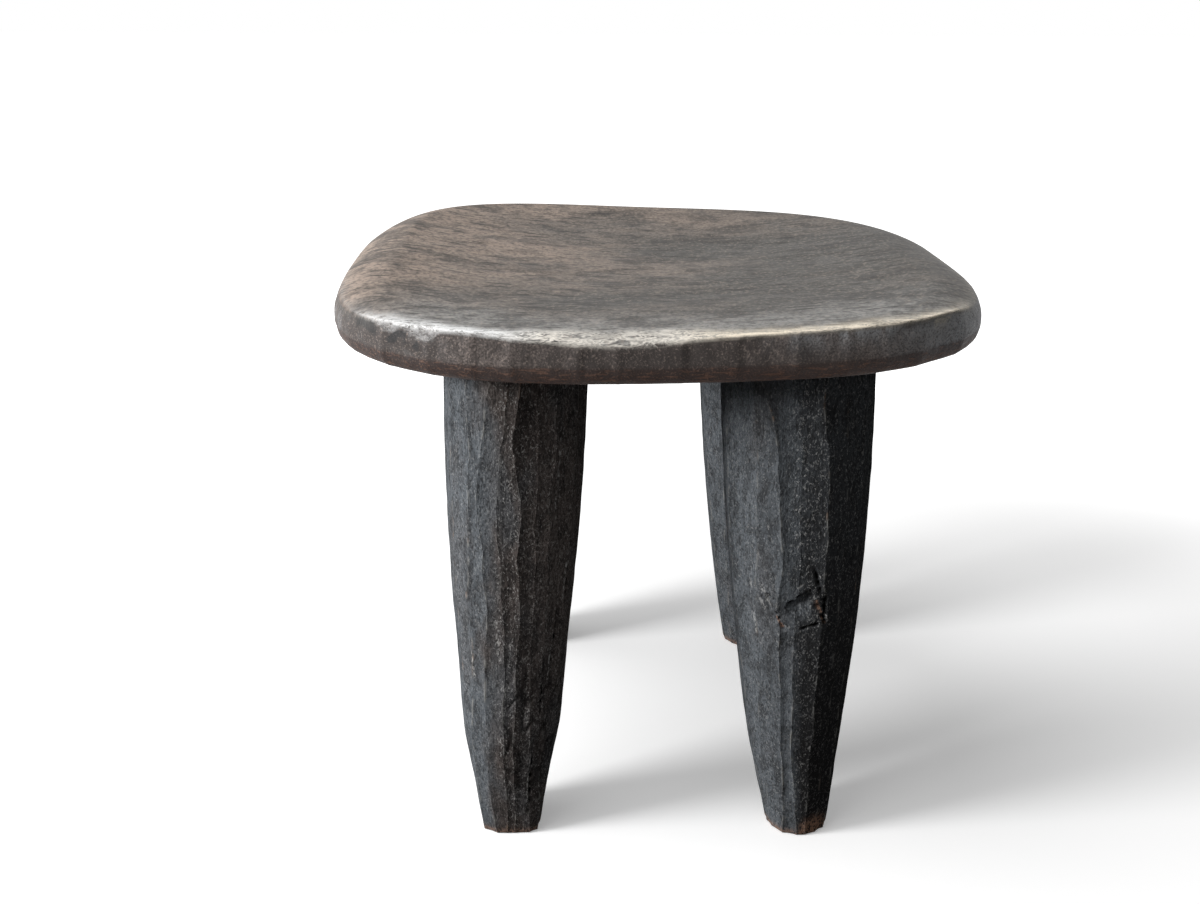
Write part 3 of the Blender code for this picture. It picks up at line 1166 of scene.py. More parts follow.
    def disc_border(self) -> Array:
        """Numbers of the grid's outer points, anticlockwise from -45 degrees."""
        size = self.grid + 1
        steps = np.arange(self.grid)
        right = self.grid * size + steps
        rear = (self.grid - steps) * size + self.grid
        left = self.grid - steps
        front = steps * size
        return np.concatenate([right, rear, left, front])

    def top(self, share: Array, angle: Array) -> Array:
        """Points of the hollow top.

        Args:
            share: Share of the way from the middle to the rim's crown.
            angle: Angle in plan.

        Returns:
            The points.
        """
        line = self.edge_line(angle)
        floor = self.edge_height - self.dish_depth
        height = floor + (line.rim_height - floor) * share ** 2
        points = line.points(line.radius - share * (line.radius - line.rim_reach), height)
        uneven = sum(ripples.height(points) for ripples in self.dish_ripples)
        points[:, 2] += (1.0 - share ** self.dish_power) * uneven
        return points

    def below(self, share: Array, angle: Array) -> Array:
        """Points of the adzed underside.

        Args:
            share: Share of the way from the middle to the bevel.
            angle: Angle in plan.

        Returns:
            The points.
        """
        line = self.edge_line(angle)
        points = line.points(line.radius - share * (line.radius - line.bevel_reach), 0.0)
        strokes = sum(ripples.height(points) for ripples in self.adze_strokes)
        points[:, 2] += np.abs(strokes) * smooth_step(1.0 - share, 0.0, self.adze_border)
        return points

    def side_rows(self, line: EdgeLine) -> Tuple[List[Array], List[Array], List[Array]]:
        """Rows of points from the rim's crown over the wall to the bevel.

        Args:
            line: The seat's edge at each point of a row.

        Returns:
            The rows, how much each is wall, and how much each is lower edge.
        """
        rows: List[Array] = []
        walls: List[Array] = []
        edges: List[Array] = []
        across = line.radius * np.cos(np.radians(line.angle)) / self.half_width
        ends = smooth_step(np.abs(across), *self.end_span)
        sag = self.facet_sag(line.angle) * (1.0 - self.end_smoothing * ends)
        arris = line.rim_height - line.arris_drop
        whole = np.ones_like(line.angle)

        def take(points: Array, hewn: Array, wall: Array, edge: float) -> None:
            """Keep a row, hewn by a share of the facets' depth and cut back by the chips."""
            inset = line.radius - np.linalg.norm(points[:, :2], axis=1)
            below = np.maximum(0.0, arris - points[:, 2])
            chipped = self.chip_slope * np.maximum(0.0, line.chip - below)
            inward = np.maximum(hewn * (sag + self.wall_rough.height(points)), chipped - inset)
            points[:, :2] -= ways_in_plan(line.angle) * inward[:, None]
            rows.append(points)
            walls.append(wall)
            edges.append(edge * whole)

        for step in range(1, self.roll_steps + 1):
            share = step / self.roll_steps
            wall = line.wall_share(share)
            take(line.roll(share), wall, wall, 0.0)
        top = line.rim_height - line.rim_drop
        foot = line.lower_height + self.under_rise
        for step in range(1, self.wall_steps + 1):
            share = step / self.wall_steps
            height = top + (foot - top) * share
            take(line.points(0.0 * whole, height), whole, whole, self.low_wood_and_shade * share ** self.low_power)
        for step in range(1, self.edge_steps + 1):
            share = step / self.edge_steps
            turn = math.pi / 2.0 * share
            inset = self.under_reach * (1.0 - math.cos(turn)) * whole
            height = line.lower_height + self.under_rise * (1.0 - math.sin(turn))
            hewn = (1.0 - (1.0 - self.under_hewn) * share) * whole
            darker = float(smooth_step(np.array(share), 0.0, self.low_fade))
            take(line.points(inset, height), hewn, whole, self.low_wood_and_shade + (1.0 - self.low_wood_and_shade) * darker)
        for step in range(1, self.bevel_steps):
            left = 1.0 - step / self.bevel_steps
            inset = line.bevel_reach - (line.bevel_reach - self.under_reach) * left
            take(line.points(inset, line.lower_height * left), self.under_hewn * left * whole, whole, left)
        return rows, walls, edges

    def build(self) -> bpy.types.Object:
        """Carve the seat.

        Returns:
            The seat.
        """
        share, angle = self.disc()
        border = self.disc_border()
        size = self.grid + 1
        top = self.top(share, angle)
        below = self.below(share, angle)
        rows, walls, edges = self.side_rows(self.edge_line(angle[border]))
        ring = len(border)
        first_below = len(top) + ring * len(rows)
        numbers = len(top) + np.arange(ring * len(rows)).reshape(len(rows), ring)
        side = np.concatenate([border[None], numbers, border[None] + first_below])
        lifted = np.swapaxes(np.arange(size * size).reshape(size, size), 0, 1)[::-1]
        faces = strip_faces(side)
        faces += strip_faces(lifted, closed=False)
        faces += strip_faces(lifted[::-1] + first_below, closed=False)
        points = np.concatenate([top, *rows, below])
        line = self.edge_line(np.concatenate([angle, np.tile(angle[border], len(rows)), angle]))
        none = np.zeros(len(top))
        inner = smooth_step(1.0 - share, 0.0, self.underside_border)
        climb = np.concatenate([share, np.ones(ring * len(rows)), none])
        wall = np.concatenate([none, *walls, none + 1.0])
        across = points[:, 0] / self.half_width
        scuff, deep = self.wall_wear.marks(points, line)
        marks = self.rim_wear_and_highlight.marks(points, line, self.chip_slope)
        marks["scuff"] = scuff
        # Cooler tone of the top; on the wall, paler ends painted as light.
        marks["cool"] = self.tones.cool(across, points[:, 1] / self.half_depth, climb, wall)
        # Painted shade on the wall: in its middle, at its left, in its notch and under its chips.
        marks["shade"] = self.tones.shade(across, deep)
        # A sheen painted where the hollow climbs to the front rim.
        marks["painted_sheen"] = self.tones.painted_sheen.share(line.angle) * smooth_step(climb, *self.tones.painted_sheen_span)
        marks["wall"] = wall
        # Red-brown raw wood of the lower edge, darker towards the underside as painted shade.
        marks["lower_edge"] = np.concatenate([none, *edges, none])
        marks["underside"] = np.concatenate([none, np.zeros(ring * len(rows)), inner])
        points = points + np.array([0.0, 0.0, self.base])
        return carved_piece("carved_seat", points, faces, marks, SeatWood().material())

    def dress(self, piece: bpy.types.Object) -> None:
        """Let the carved seat stand for its node and ride on the stool."""
        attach(piece, BODY)
        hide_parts(self.node)


class LegPlace(Enum):
    """Where a leg stands, by the name of its node."""

    FRONT_LEFT = "leg_front_left"
    FRONT_RIGHT = "leg_front_right"
    REAR_LEFT = "leg_rear_left"
    REAR_RIGHT = "leg_rear_right"


class CutKind(Enum):
    """The shape of a cut: open on both sides, or steep on one side only."""

    GROOVE = 1
    CHIP = 2


RIDGE_STATIONS = (0.0, 0.03, 0.06, 0.09, 0.12, 0.15, 0.18, 0.21, 0.24, 0.283)


@dataclass(frozen=True)
class Ridge:
    """A ridge between two facets: its angle at each station from the sole up."""

    angles: Tuple[float, ...]
    foot_crest: float = 1.0
    top_crest: float = 1.0


@dataclass
class LegSkin:
    """A leg's surface by row and column, while it is carved."""

    points: Array
    outward: Array
    angle: Array
    radius: Array
    depth: Array
    crest: Array

    @property
    def level(self) -> Array:
        """Heights of the surface above the floor."""
        return self.points[..., 2]

    def away(self, angle: float, height: float) -> Array:
        """How far the surface lies from one of its points, given by its angle and height."""
        return np.hypot(np.radians(angle_between(angle, self.angle)) * self.radius, self.level - height)


@dataclass(frozen=True)
class Cut:
    """A cut in a leg between two points, each an angle and a height."""

    start: Span
    end: Span
    width: float
    depth: float
    kind: CutKind = CutKind.GROOVE
    raw: float = 0.0
    pale: float = 0.0
    broken: float = 0.2
    # Whether shade is painted in the cut.
    dark: bool = True
    raw_span: Span = (0.0, 0.6)
    pale_span: Span = (0.2, 0.7)
    crevice_shade_span: Span = (0.35, 1.0)

    def sink(self, skin: LegSkin, uneven: Array) -> Array:
        """How deep the cut is.

        Args:
            skin: The leg's surface.
            uneven: A random field over it, by which the cut is broken up.

        Returns:
            The depth at each point.
        """
        across = np.radians(angle_between(self.start[0], skin.angle)) * skin.radius
        along = skin.level - self.start[1]
        end_across = math.radians(self.end[0] - self.start[0]) * float(np.mean(skin.radius))
        end_along = self.end[1] - self.start[1]
        length = math.hypot(end_across, end_along)
        forward = (across * end_across + along * end_along) / length
        sideways = (across * end_along - along * end_across) / length
        run = np.maximum(0.0, 1.0 - (2.0 * forward / length - 1.0) ** 2)
        if self.kind is CutKind.GROOVE:
            fall = np.maximum(0.0, 1.0 - np.abs(sideways) / self.width)
        else:
            fall = np.where(sideways < 0.0, 0.0, np.maximum(0.0, 1.0 - sideways / self.width))
        return self.depth * fall * np.sqrt(run) * np.clip(1.0 + self.broken * uneven, 0.0, 2.0)

    def shares(self, sink: Array) -> Dict[str, Array]:
        """How raw and pale the cut is, and how much shade is painted in it, by how deep it is at each point.
        """
        dark = float(self.dark and self.raw + self.pale == 0.0)
        kinds = {
            "raw": (self.raw, self.raw_span),
            "pale": (self.pale, self.pale_span),
            "crevice_shade": (dark, self.crevice_shade_span),
        }
        part = sink / self.depth
        return {name: share * smooth_step(part, *span) for name, (share, span) in kinds.items()}


def scratch(start: Span, end: Span, pale: float, broken: float = 0.7, width: float = 0.0010) -> Cut:
    """A pale, shallow scratch between two points, each an angle and a height.

    Args:
        start: Where it starts.
        end: Where it ends.
        pale: How pale it is.
        broken: How much it is broken up.
        width: How wide it is.

    Returns:
        The scratch.
    """
    return Cut(start, end, width, 0.0002, pale=pale, broken=broken)


@dataclass(frozen=True)
class WornPatch:
    """A patch of a leg rubbed down to the raw wood."""

    angle: float
    height: float
    size: float
    strength: float


@dataclass(frozen=True)
class Knot:
    """A swelling of the grain round a knot, whose middle is kept clear of painted shade and of pores."""

    angle: float
    height: float
    size: float
    swell: float
    clean: float = 0.8
    clearing_share: float = 0.45
    row_weight: float = 1.6
    row_reach: float = 1.2


@dataclass(frozen=True)
class Gnarl:
    """Gnarled furrows on one side of a leg, round one height."""

    side: Arc = Arc(-90.0, -10.0, 10.0)
    height: float = 0.072
    spread: float = 0.046
    ripples: Ripples = Ripples(1.0, 0.009, 73, (1.0, 1.0, 0.5))
    narrow: float = 0.45
    depth: float = 0.0006
    # How dark the shade painted in the furrows is.
    dark: float = 0.55

    def furrows(self, skin: LegSkin) -> Tuple[Array, Array]:
        """How deep the furrows are, and how dark.

        Args:
            skin: The leg's surface.

        Returns:
            The depth, and the shade painted in the furrows, at each point.
        """
        gnarled = self.side.share(skin.angle) * bump(skin.level, self.spread, self.height, 4)
        furrow = bump(self.ripples.height(skin.points), self.narrow)
        return self.depth * gnarled * furrow, self.dark * gnarled * furrow ** 2


@dataclass(frozen=True)
class LegTones:
    """Where a leg is painted warmer on its shaded side, paler as light or darker as shade on its lee side,
    or open-pored, and how much of each it has.
    """

    # How much warmer the shaded side is painted.
    warmth: float = 0.3
    # How much light is painted on the lee side.
    painted_lee_light: float = 0.0
    # How much shade is painted on the lee side.
    painted_lee_shade: float = 0.0
    shaded_warm_side: Arc = Arc(-115.0, 150.0, 20.0)
    # Where light is painted on the lee side: round the leg and up it.
    painted_lee_light_side: Arc = Arc(-70.0, 60.0, 14.0)
    painted_lee_light_height: float = 0.18
    painted_lee_light_spread: float = 0.09
    # Where shade is painted on the lee side, weaker towards the top, and on one lit facet.
    painted_lee_shade_side: Arc = Arc(-94.0, 60.0, 9.0)
    painted_lee_shade_fade: float = 0.65
    dim_side: Arc = Arc(-128.0, -112.0, 6.0)
    dim_share: float = 0.25
    rough_side: Arc = Arc(-100.0, 60.0, 10.0)
    filled_side: Arc = Arc(-76.0, 60.0, 8.0)
    filled_share: float = 0.6
    filled_low: float = 0.5
    low_span: Span = (-0.20, -0.10)

    def marks(self, skin: LegSkin, plain: Array, height: float) -> Dict[str, Array]:
        """Mark a leg's tones.

        Args:
            skin: The leg's surface.
            plain: How much of each point is plain wood, away from a knot.
            height: The leg's height.

        Returns:
            The marks by name.
        """
        # Light painted on the lee side, most round one height.
        lee_lit = self.painted_lee_light_side.share(skin.angle) * bump(skin.level, self.painted_lee_light_spread, self.painted_lee_light_height)
        # Shade painted on the lee side, weaker towards the top, and a little on one lit facet.
        lee_shaded = self.painted_lee_shade_side.share(skin.angle) * (1.0 - self.painted_lee_shade_fade * (skin.level / height) ** 2)
        dim = self.dim_share * self.dim_side.share(skin.angle)
        filled = self.filled_share * self.painted_lee_shade * self.filled_side.share(skin.angle)
        filled_low = self.filled_low * self.painted_lee_shade * smooth_step(-skin.level, *self.low_span)
        rough = self.rough_side.share(skin.angle) * (1.0 - filled) * (1.0 - filled_low)
        return {
            # Painted shade: warmer on the side away from the lamp.
            "warm": self.warmth * self.shaded_warm_side.share(skin.angle),
            "painted_lee_light": self.painted_lee_light * lee_lit,
            "painted_lee_shade": self.painted_lee_shade * plain * np.maximum(dim, lee_shaded),
            "rough": plain * rough,
        }


@dataclass
class Leg:
    """One tapering leg, hewn in long facets down to a small worn sole."""

    place: LegPlace
    seed: int
    ridges: Tuple[Ridge, ...] = ()
    cuts: Tuple[Cut, ...] = ()
    patches: Tuple[WornPatch, ...] = ()
    knots: Tuple[Knot, ...] = ()
    gnarls: Tuple[Gnarl, ...] = ()
    tones: LegTones = LegTones()
    slot: str = "leg_wood"
    top_radius: float = 0.0388
    mid_radius: float = 0.0336
    foot_radius: float = 0.0186
    girth: float = 0.0
    belly: float = 0.0
    belly_height: float = 0.066
    belly_spread: float = 0.032
    foot_shift: Span = (0.0, 0.0)
    foot_square: float = 0.0
    foot_run: float = 0.060
    foot_power: float = 4.5
    let_in: float = 0.0012
    end_slack: float = 1e-4
    line_overrun: float = 1.1
    facet_turn: float = 24.0
    facet_hollow: Span = (-0.00015, 0.00045)
    ridge_jitter: float = 0.24
    ridge_wander: float = 1.5
    ridge_sway: float = 0.70
    sway_length: float = 0.022
    ridge_crests: Tuple[float, ...] = (0.5, 0.7, 1.0, 1.0)
    crest_span: Span = (0.2, 0.52)
    crest_width: float = 0.0006
    arris_wear: float = 0.00006
    arris_width: float = 0.0008
    stroke_length: Span = (0.030, 0.105)
    stroke_depth: Span = (0.00010, 0.00038)
    stroke_overrun: float = 0.05
    stroke_lean: float = 0.9
    steep_share: float = 0.45
    steep_edge: float = 0.03
    break_length: float = 0.004
    grain_squeeze: Triple = (1.0, 1.0, 0.45)
    coarse_grain: Span = (0.00008, 0.016)
    fine_grain: Span = (0.00005, 0.006)
    sole_round: float = 0.0014
    sole_raw: float = 0.75
    sole_raw_height: float = 0.0032
    sole_rings: Tuple[float, ...] = (0.2, 0.45, 0.7, 0.88)
    sole_steps: int = 5
    fine_columns: int = 22
    plain_columns: int = 12
    rows: int = 270
    row_steps: int = 20
    soft_rows: int = 17

    def __post_init__(self) -> None:
        """Take the leg's line from its node in the frame, and fill in the ridges round the back."""
        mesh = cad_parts[self.place.value].data
        points = np.array([vertex.co for vertex in mesh.vertices])
        low = points[points[:, 2] < points[:, 2].min() + self.end_slack]
        high = points[points[:, 2] > points[:, 2].max() - self.end_slack]
        self.foot = (low.min(axis=0) + low.max(axis=0))[:2] / 2.0
        self.shoulder = (high.min(axis=0) + high.max(axis=0))[:2] / 2.0
        self.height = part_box("seat")[0].z
        self.draw = np.random.default_rng(self.seed)
        self.read_ridges = len(self.ridges)
        self.ridges = self.ridges + self.further_ridges()

    def further_ridges(self) -> Tuple[Ridge, ...]:
        """Ridges for the part of the leg's round that has none yet.

        Returns:
            The ridges, in order of their angles.
        """
        if self.ridges:
            start = float(np.mean(self.ridges[-1].angles))
            gap = float(np.mean(self.ridges[0].angles)) + 360.0 - start
        else:
            start = float(self.draw.uniform(-180.0, 180.0))
            gap = 360.0
        count = round(gap / self.facet_turn)
        first = 1 if self.ridges else 0
        made = []
        for index in range(first, count):
            off = self.draw.uniform(-self.ridge_jitter, self.ridge_jitter)
            middle = start + gap * (index + off) / count
            wander = np.cumsum(self.draw.normal(0.0, self.ridge_wander, len(RIDGE_STATIONS)))
            wander -= wander.mean()
            crests = self.draw.choice(self.ridge_crests, 2)
            made.append(Ridge(tuple(middle + wander), float(crests[0]), float(crests[1])))
        return tuple(made)

    def radius(self, height: Array) -> Array:
        """The leg's radius over its ridges.

        Args:
            height: Heights above the floor.

        Returns:
            The radius at each height.
        """
        share = np.clip(height / self.height, 0.0, 1.0)
        lower = self.foot_radius * (1.0 - share) * (1.0 - 2.0 * share)
        middle = self.mid_radius * 4.0 * share * (1.0 - share)
        upper = self.top_radius * share * (2.0 * share - 1.0)
        belly = self.belly * bump(height, self.belly_spread, self.belly_height)
        return lower + middle + upper + self.girth * share + belly

    def near_foot(self, height: Array) -> Array:
        """How near the sole heights lie, from 1 on it to 0 where the foot ends."""
        return smooth_step(-height, -self.foot_run, 0.0)

    def line(self, height: Array) -> Array:
        """The leg's middle line in plan.

        Args:
            height: Heights above the floor.

        Returns:
            The line's place at each height.
        """
        rise = np.clip(height / self.height, 0.0, self.line_overrun)[:, None]
        shift = np.array(self.foot_shift) * self.near_foot(height)[:, None]
        return self.foot + (self.shoulder - self.foot) * rise + shift

    def ridge_points(self, heights: Array) -> Tuple[Array, Array]:
        """Where the ridges run.

        Args:
            heights: Heights of the rows.

        Returns:
            The ridges' points round the leg's line at each height, and how sharp they stand there.
        """
        share = smooth_step(heights, self.crest_span[0] * self.height, self.crest_span[1] * self.height)
        window = np.hanning(self.soft_rows)
        window /= window.sum()
        angles = []
        crests = []
        for ridge in self.ridges:
            line = np.interp(heights, RIDGE_STATIONS, ridge.angles)
            line = np.convolve(np.pad(line, self.soft_rows // 2, mode="edge"), window, mode="valid")
            rows = np.stack([heights, 0.0 * heights, 0.0 * heights + ridge.angles[0]], axis=-1)
            angles.append(line + self.ridge_sway * ripple(rows, self.sway_length, self.seed + 40))
            crests.append(ridge.foot_crest + (ridge.top_crest - ridge.foot_crest) * share)
        way = ways_in_plan(np.stack(angles, axis=1))
        crest = np.stack(crests, axis=1)
        square = np.sum(np.abs(way) ** self.foot_power, axis=-1) ** (-1.0 / self.foot_power)
        squared = self.foot_square * self.near_foot(heights)[:, None]
        full = (self.radius(heights)[:, None] * (1.0 + (square - 1.0) * squared))[..., None] * way
        before = np.roll(full, 1, axis=1)
        chord = np.roll(full, -1, axis=1) - before
        reach = before[..., 0] * chord[..., 1] - before[..., 1] * chord[..., 0]
        reach = reach / (way[..., 0] * chord[..., 1] - way[..., 1] * chord[..., 0])
        flat = way * reach[..., None]
        return flat + (full - flat) * crest[..., None], crest

    def strokes(self, heights: Array, across: Array, width: Array) -> Array:
        """Hollows that the strokes of the tool left along one facet.

        Args:
            heights: Heights of the rows.
            across: Share of the way across the facet, for each column.
            width: The facet's width at each height.

        Returns:
            The depth of the hollows, by row and column.
        """
        ends = [-self.stroke_overrun]
        while ends[-1] < self.height + self.stroke_overrun:
            ends.append(ends[-1] + self.draw.uniform(*self.stroke_length))
        depths = self.draw.uniform(*self.stroke_depth, len(ends))
        steep = self.draw.random(len(ends)) < self.steep_share
        lean = self.draw.uniform(-self.stroke_lean, self.stroke_lean)
        edges = np.array(ends)
        level = heights[:, None] + lean * (across[None] - 0.5) * width[:, None]
        which = np.clip(np.searchsorted(edges, level) - 1, 0, len(edges) - 2)
        share = (level - edges[which]) / (edges[which + 1] - edges[which])
        bowl = 4.0 * share * (1.0 - share)
        ramp = share ** 2 * smooth_step(1.0 - share, 0.0, self.steep_edge)
        window = np.sqrt(np.clip(4.0 * across * (1.0 - across), 0.0, 1.0))
        return depths[which] * np.where(steep[which], ramp, bowl) * window[None]

    def facets(self, heights: Array) -> LegSkin:
        """Hew the leg's facets.

        Args:
            heights: Heights of the rows.

        Returns:
            The leg's surface, with the depth of the strokes on it and the worn crests of its ridges.
        """
        corners, crest = self.ridge_points(heights)
        columns = []
        outward = []
        sunk = []
        worn = []
        for index in range(len(self.ridges)):
            following = (index + 1) % len(self.ridges)
            count = self.fine_columns if index < self.read_ridges else self.plain_columns
            share = (1.0 - np.cos(math.pi * np.arange(count) / count)) / 2.0
            first = corners[:, index]
            run = corners[:, following] - first
            width = np.linalg.norm(run, axis=1)
            normal = np.stack([run[:, 1], -run[:, 0]], axis=-1) / width[:, None]
            near = share[None] * width[:, None]
            far = (1.0 - share[None]) * width[:, None]
            sharp = crest[:, index, None]
            next_sharp = crest[:, following, None]
            hollow = self.draw.uniform(*self.facet_hollow)
            edge = sharp * np.exp(-near / self.arris_width) + next_sharp * np.exp(-far / self.arris_width)
            sink = hollow * 4.0 * share * (1.0 - share) + self.arris_wear * edge
            columns.append(first[:, None] + run[:, None] * share[None, :, None])
            outward.append(np.repeat(normal[:, None], count, axis=1))
            sunk.append(sink + self.strokes(heights, share, width))
            crests = (sharp * bump(near, self.crest_width), next_sharp * bump(far, self.crest_width))
            worn.append(np.maximum(*crests))
        flat = np.concatenate(columns, axis=1)
        level = np.repeat(heights[:, None, None], flat.shape[1], axis=1)
        return LegSkin(
            points=np.concatenate([flat + self.line(heights)[:, None], level], axis=-1),
            outward=np.concatenate(outward, axis=1),
            angle=np.degrees(np.arctan2(flat[..., 1], flat[..., 0])),
            radius=np.linalg.norm(flat, axis=-1),
            depth=np.concatenate(sunk, axis=1),
            crest=np.concatenate(worn, axis=1),
        )

    def carve(self, skin: LegSkin) -> Dict[str, Array]:
        """Cut into the leg's facets: its cuts, knots, furrows, worn patches and grain.

        Args:
            skin: The leg's surface, which is carved in place.

        Returns:
            The marks that the cuts leave, and those of the leg's tones, by name.
        """
        none = np.zeros_like(skin.depth)
        plain = none + 1.0
        marks = {"crest": skin.crest, "pale": none, "raw": none, "crevice_shade": none}
        depth = skin.depth
        uneven = ripple(skin.points, self.break_length, self.seed + 60)
        for cut in self.cuts:
            sink = cut.sink(skin, uneven)
            depth = depth + sink
            for name, share in cut.shares(sink).items():
                marks[name] = np.maximum(marks[name], share)
        for knot in self.knots:
            away = skin.away(knot.angle, knot.height)
            depth = depth - knot.swell * bump(away, knot.size)
            plain = plain - knot.clean * bump(away, knot.clearing_share * knot.size, power=4)
        for gnarl in self.gnarls:
            furrow, dark = gnarl.furrows(skin)
            depth = depth + furrow
            marks["crevice_shade"] = np.maximum(marks["crevice_shade"], dark)
        for patch in self.patches:
            bare = patch.strength * bump(skin.away(patch.angle, patch.height), patch.size, power=4)
            marks["raw"] = np.maximum(marks["raw"], bare)
        marks["raw"] = np.maximum(marks["raw"], self.sole_raw * bump(skin.level, self.sole_raw_height))
        for number, (deep, length) in enumerate((self.coarse_grain, self.fine_grain)):
            depth = depth + deep * ripple(skin.points * self.grain_squeeze, length, self.seed + 50 + number)
        skin.points[..., :2] -= skin.outward * depth[..., None]
        marks.update(self.tones.marks(skin, plain, self.height))
        return marks

    def row_heights(self) -> Array:
        """Heights of the leg's rows, which lie closer together at a knot.

        Returns:
            The heights, from the sole up.
        """
        level = np.linspace(self.sole_round, self.height + self.let_in, self.row_steps * self.rows)
        weight = np.ones_like(level)
        for knot in self.knots:
            weight += knot.row_weight * bump(level, knot.row_reach * knot.size, knot.height, 4)
        reach = np.cumsum(weight)
        return np.interp(np.linspace(reach[0], reach[-1], self.rows), reach, level)

    def sole(self, lowest: Array) -> Array:
        """Rows of the flat sole and of the worn arris round it.

        Args:
            lowest: The lowest row of the leg's surface.

        Returns:
            The rows, from the middle of the sole outwards.
        """
        middle = np.append(self.line(np.zeros(1))[0], 0.0)
        reach = np.linalg.norm((lowest - middle)[:, :2], axis=1)
        rows = []
        for share in self.sole_rings:
            ring = middle + (lowest - middle) * share * (1.0 - self.sole_round / reach)[:, None]
            ring[:, 2] = 0.0
            rows.append(ring)
        for step in range(self.sole_steps):
            turn = math.pi / 2.0 * step / self.sole_steps
            inset = self.sole_round * (1.0 - math.sin(turn))
            ring = middle + (lowest - middle) * (1.0 - inset / reach)[:, None]
            ring[:, 2] = self.sole_round * (1.0 - math.cos(turn))
            rows.append(ring)
        return np.stack(rows)

    def build(self, material: bpy.types.Material) -> bpy.types.Object:
        """Carve the leg.

        Args:
            material: The legs' finish.

        Returns:
            The leg.
        """
        skin = self.facets(self.row_heights())
        marks = self.carve(skin)
        sole = self.sole(skin.points[0])
        grid = np.concatenate([sole, skin.points])
        numbers = np.arange(grid.shape[0] * grid.shape[1]).reshape(grid.shape[:2])
        faces = strip_faces(numbers[::-1])
        faces.append(numbers[0][::-1].tolist())
        faces.append(numbers[-1].tolist())
        spread = {}
        for mark, values in marks.items():
            below = np.repeat(values[:1], len(sole), axis=0)
            spread[mark] = np.concatenate([below, values]).reshape(-1)
        name = "carved_" + self.place.value
        return carved_piece(name, grid.reshape(-1, 3), faces, spread, material)

    def dress(self, piece: bpy.types.Object) -> None:
        """Let the carved leg stand for its node and ride on the stool."""
        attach(piece, BODY)
        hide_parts(self.place.value)


def front_left_leg() -> Leg:
    """The front left leg, painted warmer and paler as light on its lee side, with furrows above a square
    foot.

    Returns:
        The leg.
    """
    return Leg(
        LegPlace.FRONT_LEFT,
        seed=3,
        ridges=(
            Ridge((-153, -152, -150, -149, -150, -152, -151, -150, -149, -151), 0.7, 0.8),
            Ridge((-139, -138, -138, -131, -128, -131, -127, -126, -123, -127)),
            Ridge((-114, -121, -113, -115, -114, -111, -114, -118, -114, -106)),
            Ridge((-97, -94, -95, -96, -94, -95, -100, -101, -98, -91), 0.9, 0.4),
            Ridge((-82, -82, -84, -82, -82, -79, -83, -80, -88, -82), 0.5, 0.4),
            Ridge((-57, -63, -66, -67, -68, -67, -68, -68, -68, -68), 1.0, 0.0),
            Ridge((-42, -45, -46, -52, -55, -54, -56, -56, -52, -54)),
            Ridge((-20, -21, -23, -25, -27, -26, -27, -28, -26, -25), 0.7, 0.8),
            Ridge((5, 4, 4, 3, 3, 4, 5, 4, 3, 4)),
        ),
        cuts=(
            Cut((-58, 0.062), (-60, 0.012), 0.0016, 0.0013, broken=0.5),
            Cut((-30, 0.070), (-34, 0.028), 0.0015, 0.0012, broken=0.5),
            Cut((-36, 0.150), (-40, 0.095), 0.0014, 0.0010, broken=0.6),
            Cut((-24, 0.185), (-27, 0.140), 0.0013, 0.0009, broken=0.6),
            Cut((-52, 0.118), (-54, 0.080), 0.0013, 0.0009, broken=0.6),
            scratch((-62, 0.060), (-64, 0.018), 0.8, width=0.0011),
            scratch((-40, 0.130), (-44, 0.098), 0.8, width=0.0011),
            scratch((-47, 0.246), (-49, 0.196), 0.7),
            scratch((-28, 0.178), (-31, 0.146), 0.7),
            scratch((-104, 0.150), (-99, 0.118), 0.40, 0.8, 0.0012),
            scratch((-131, 0.122), (-129, 0.104), 0.35, width=0.0011),
        ),
        gnarls=(Gnarl(),),
        tones=LegTones(warmth=0.75, painted_lee_light=0.85),
        foot_shift=(0.0016, 0.0),
        foot_square=1.0,
        foot_radius=0.0168,
        mid_radius=0.0338,
        belly=0.0024,
    )


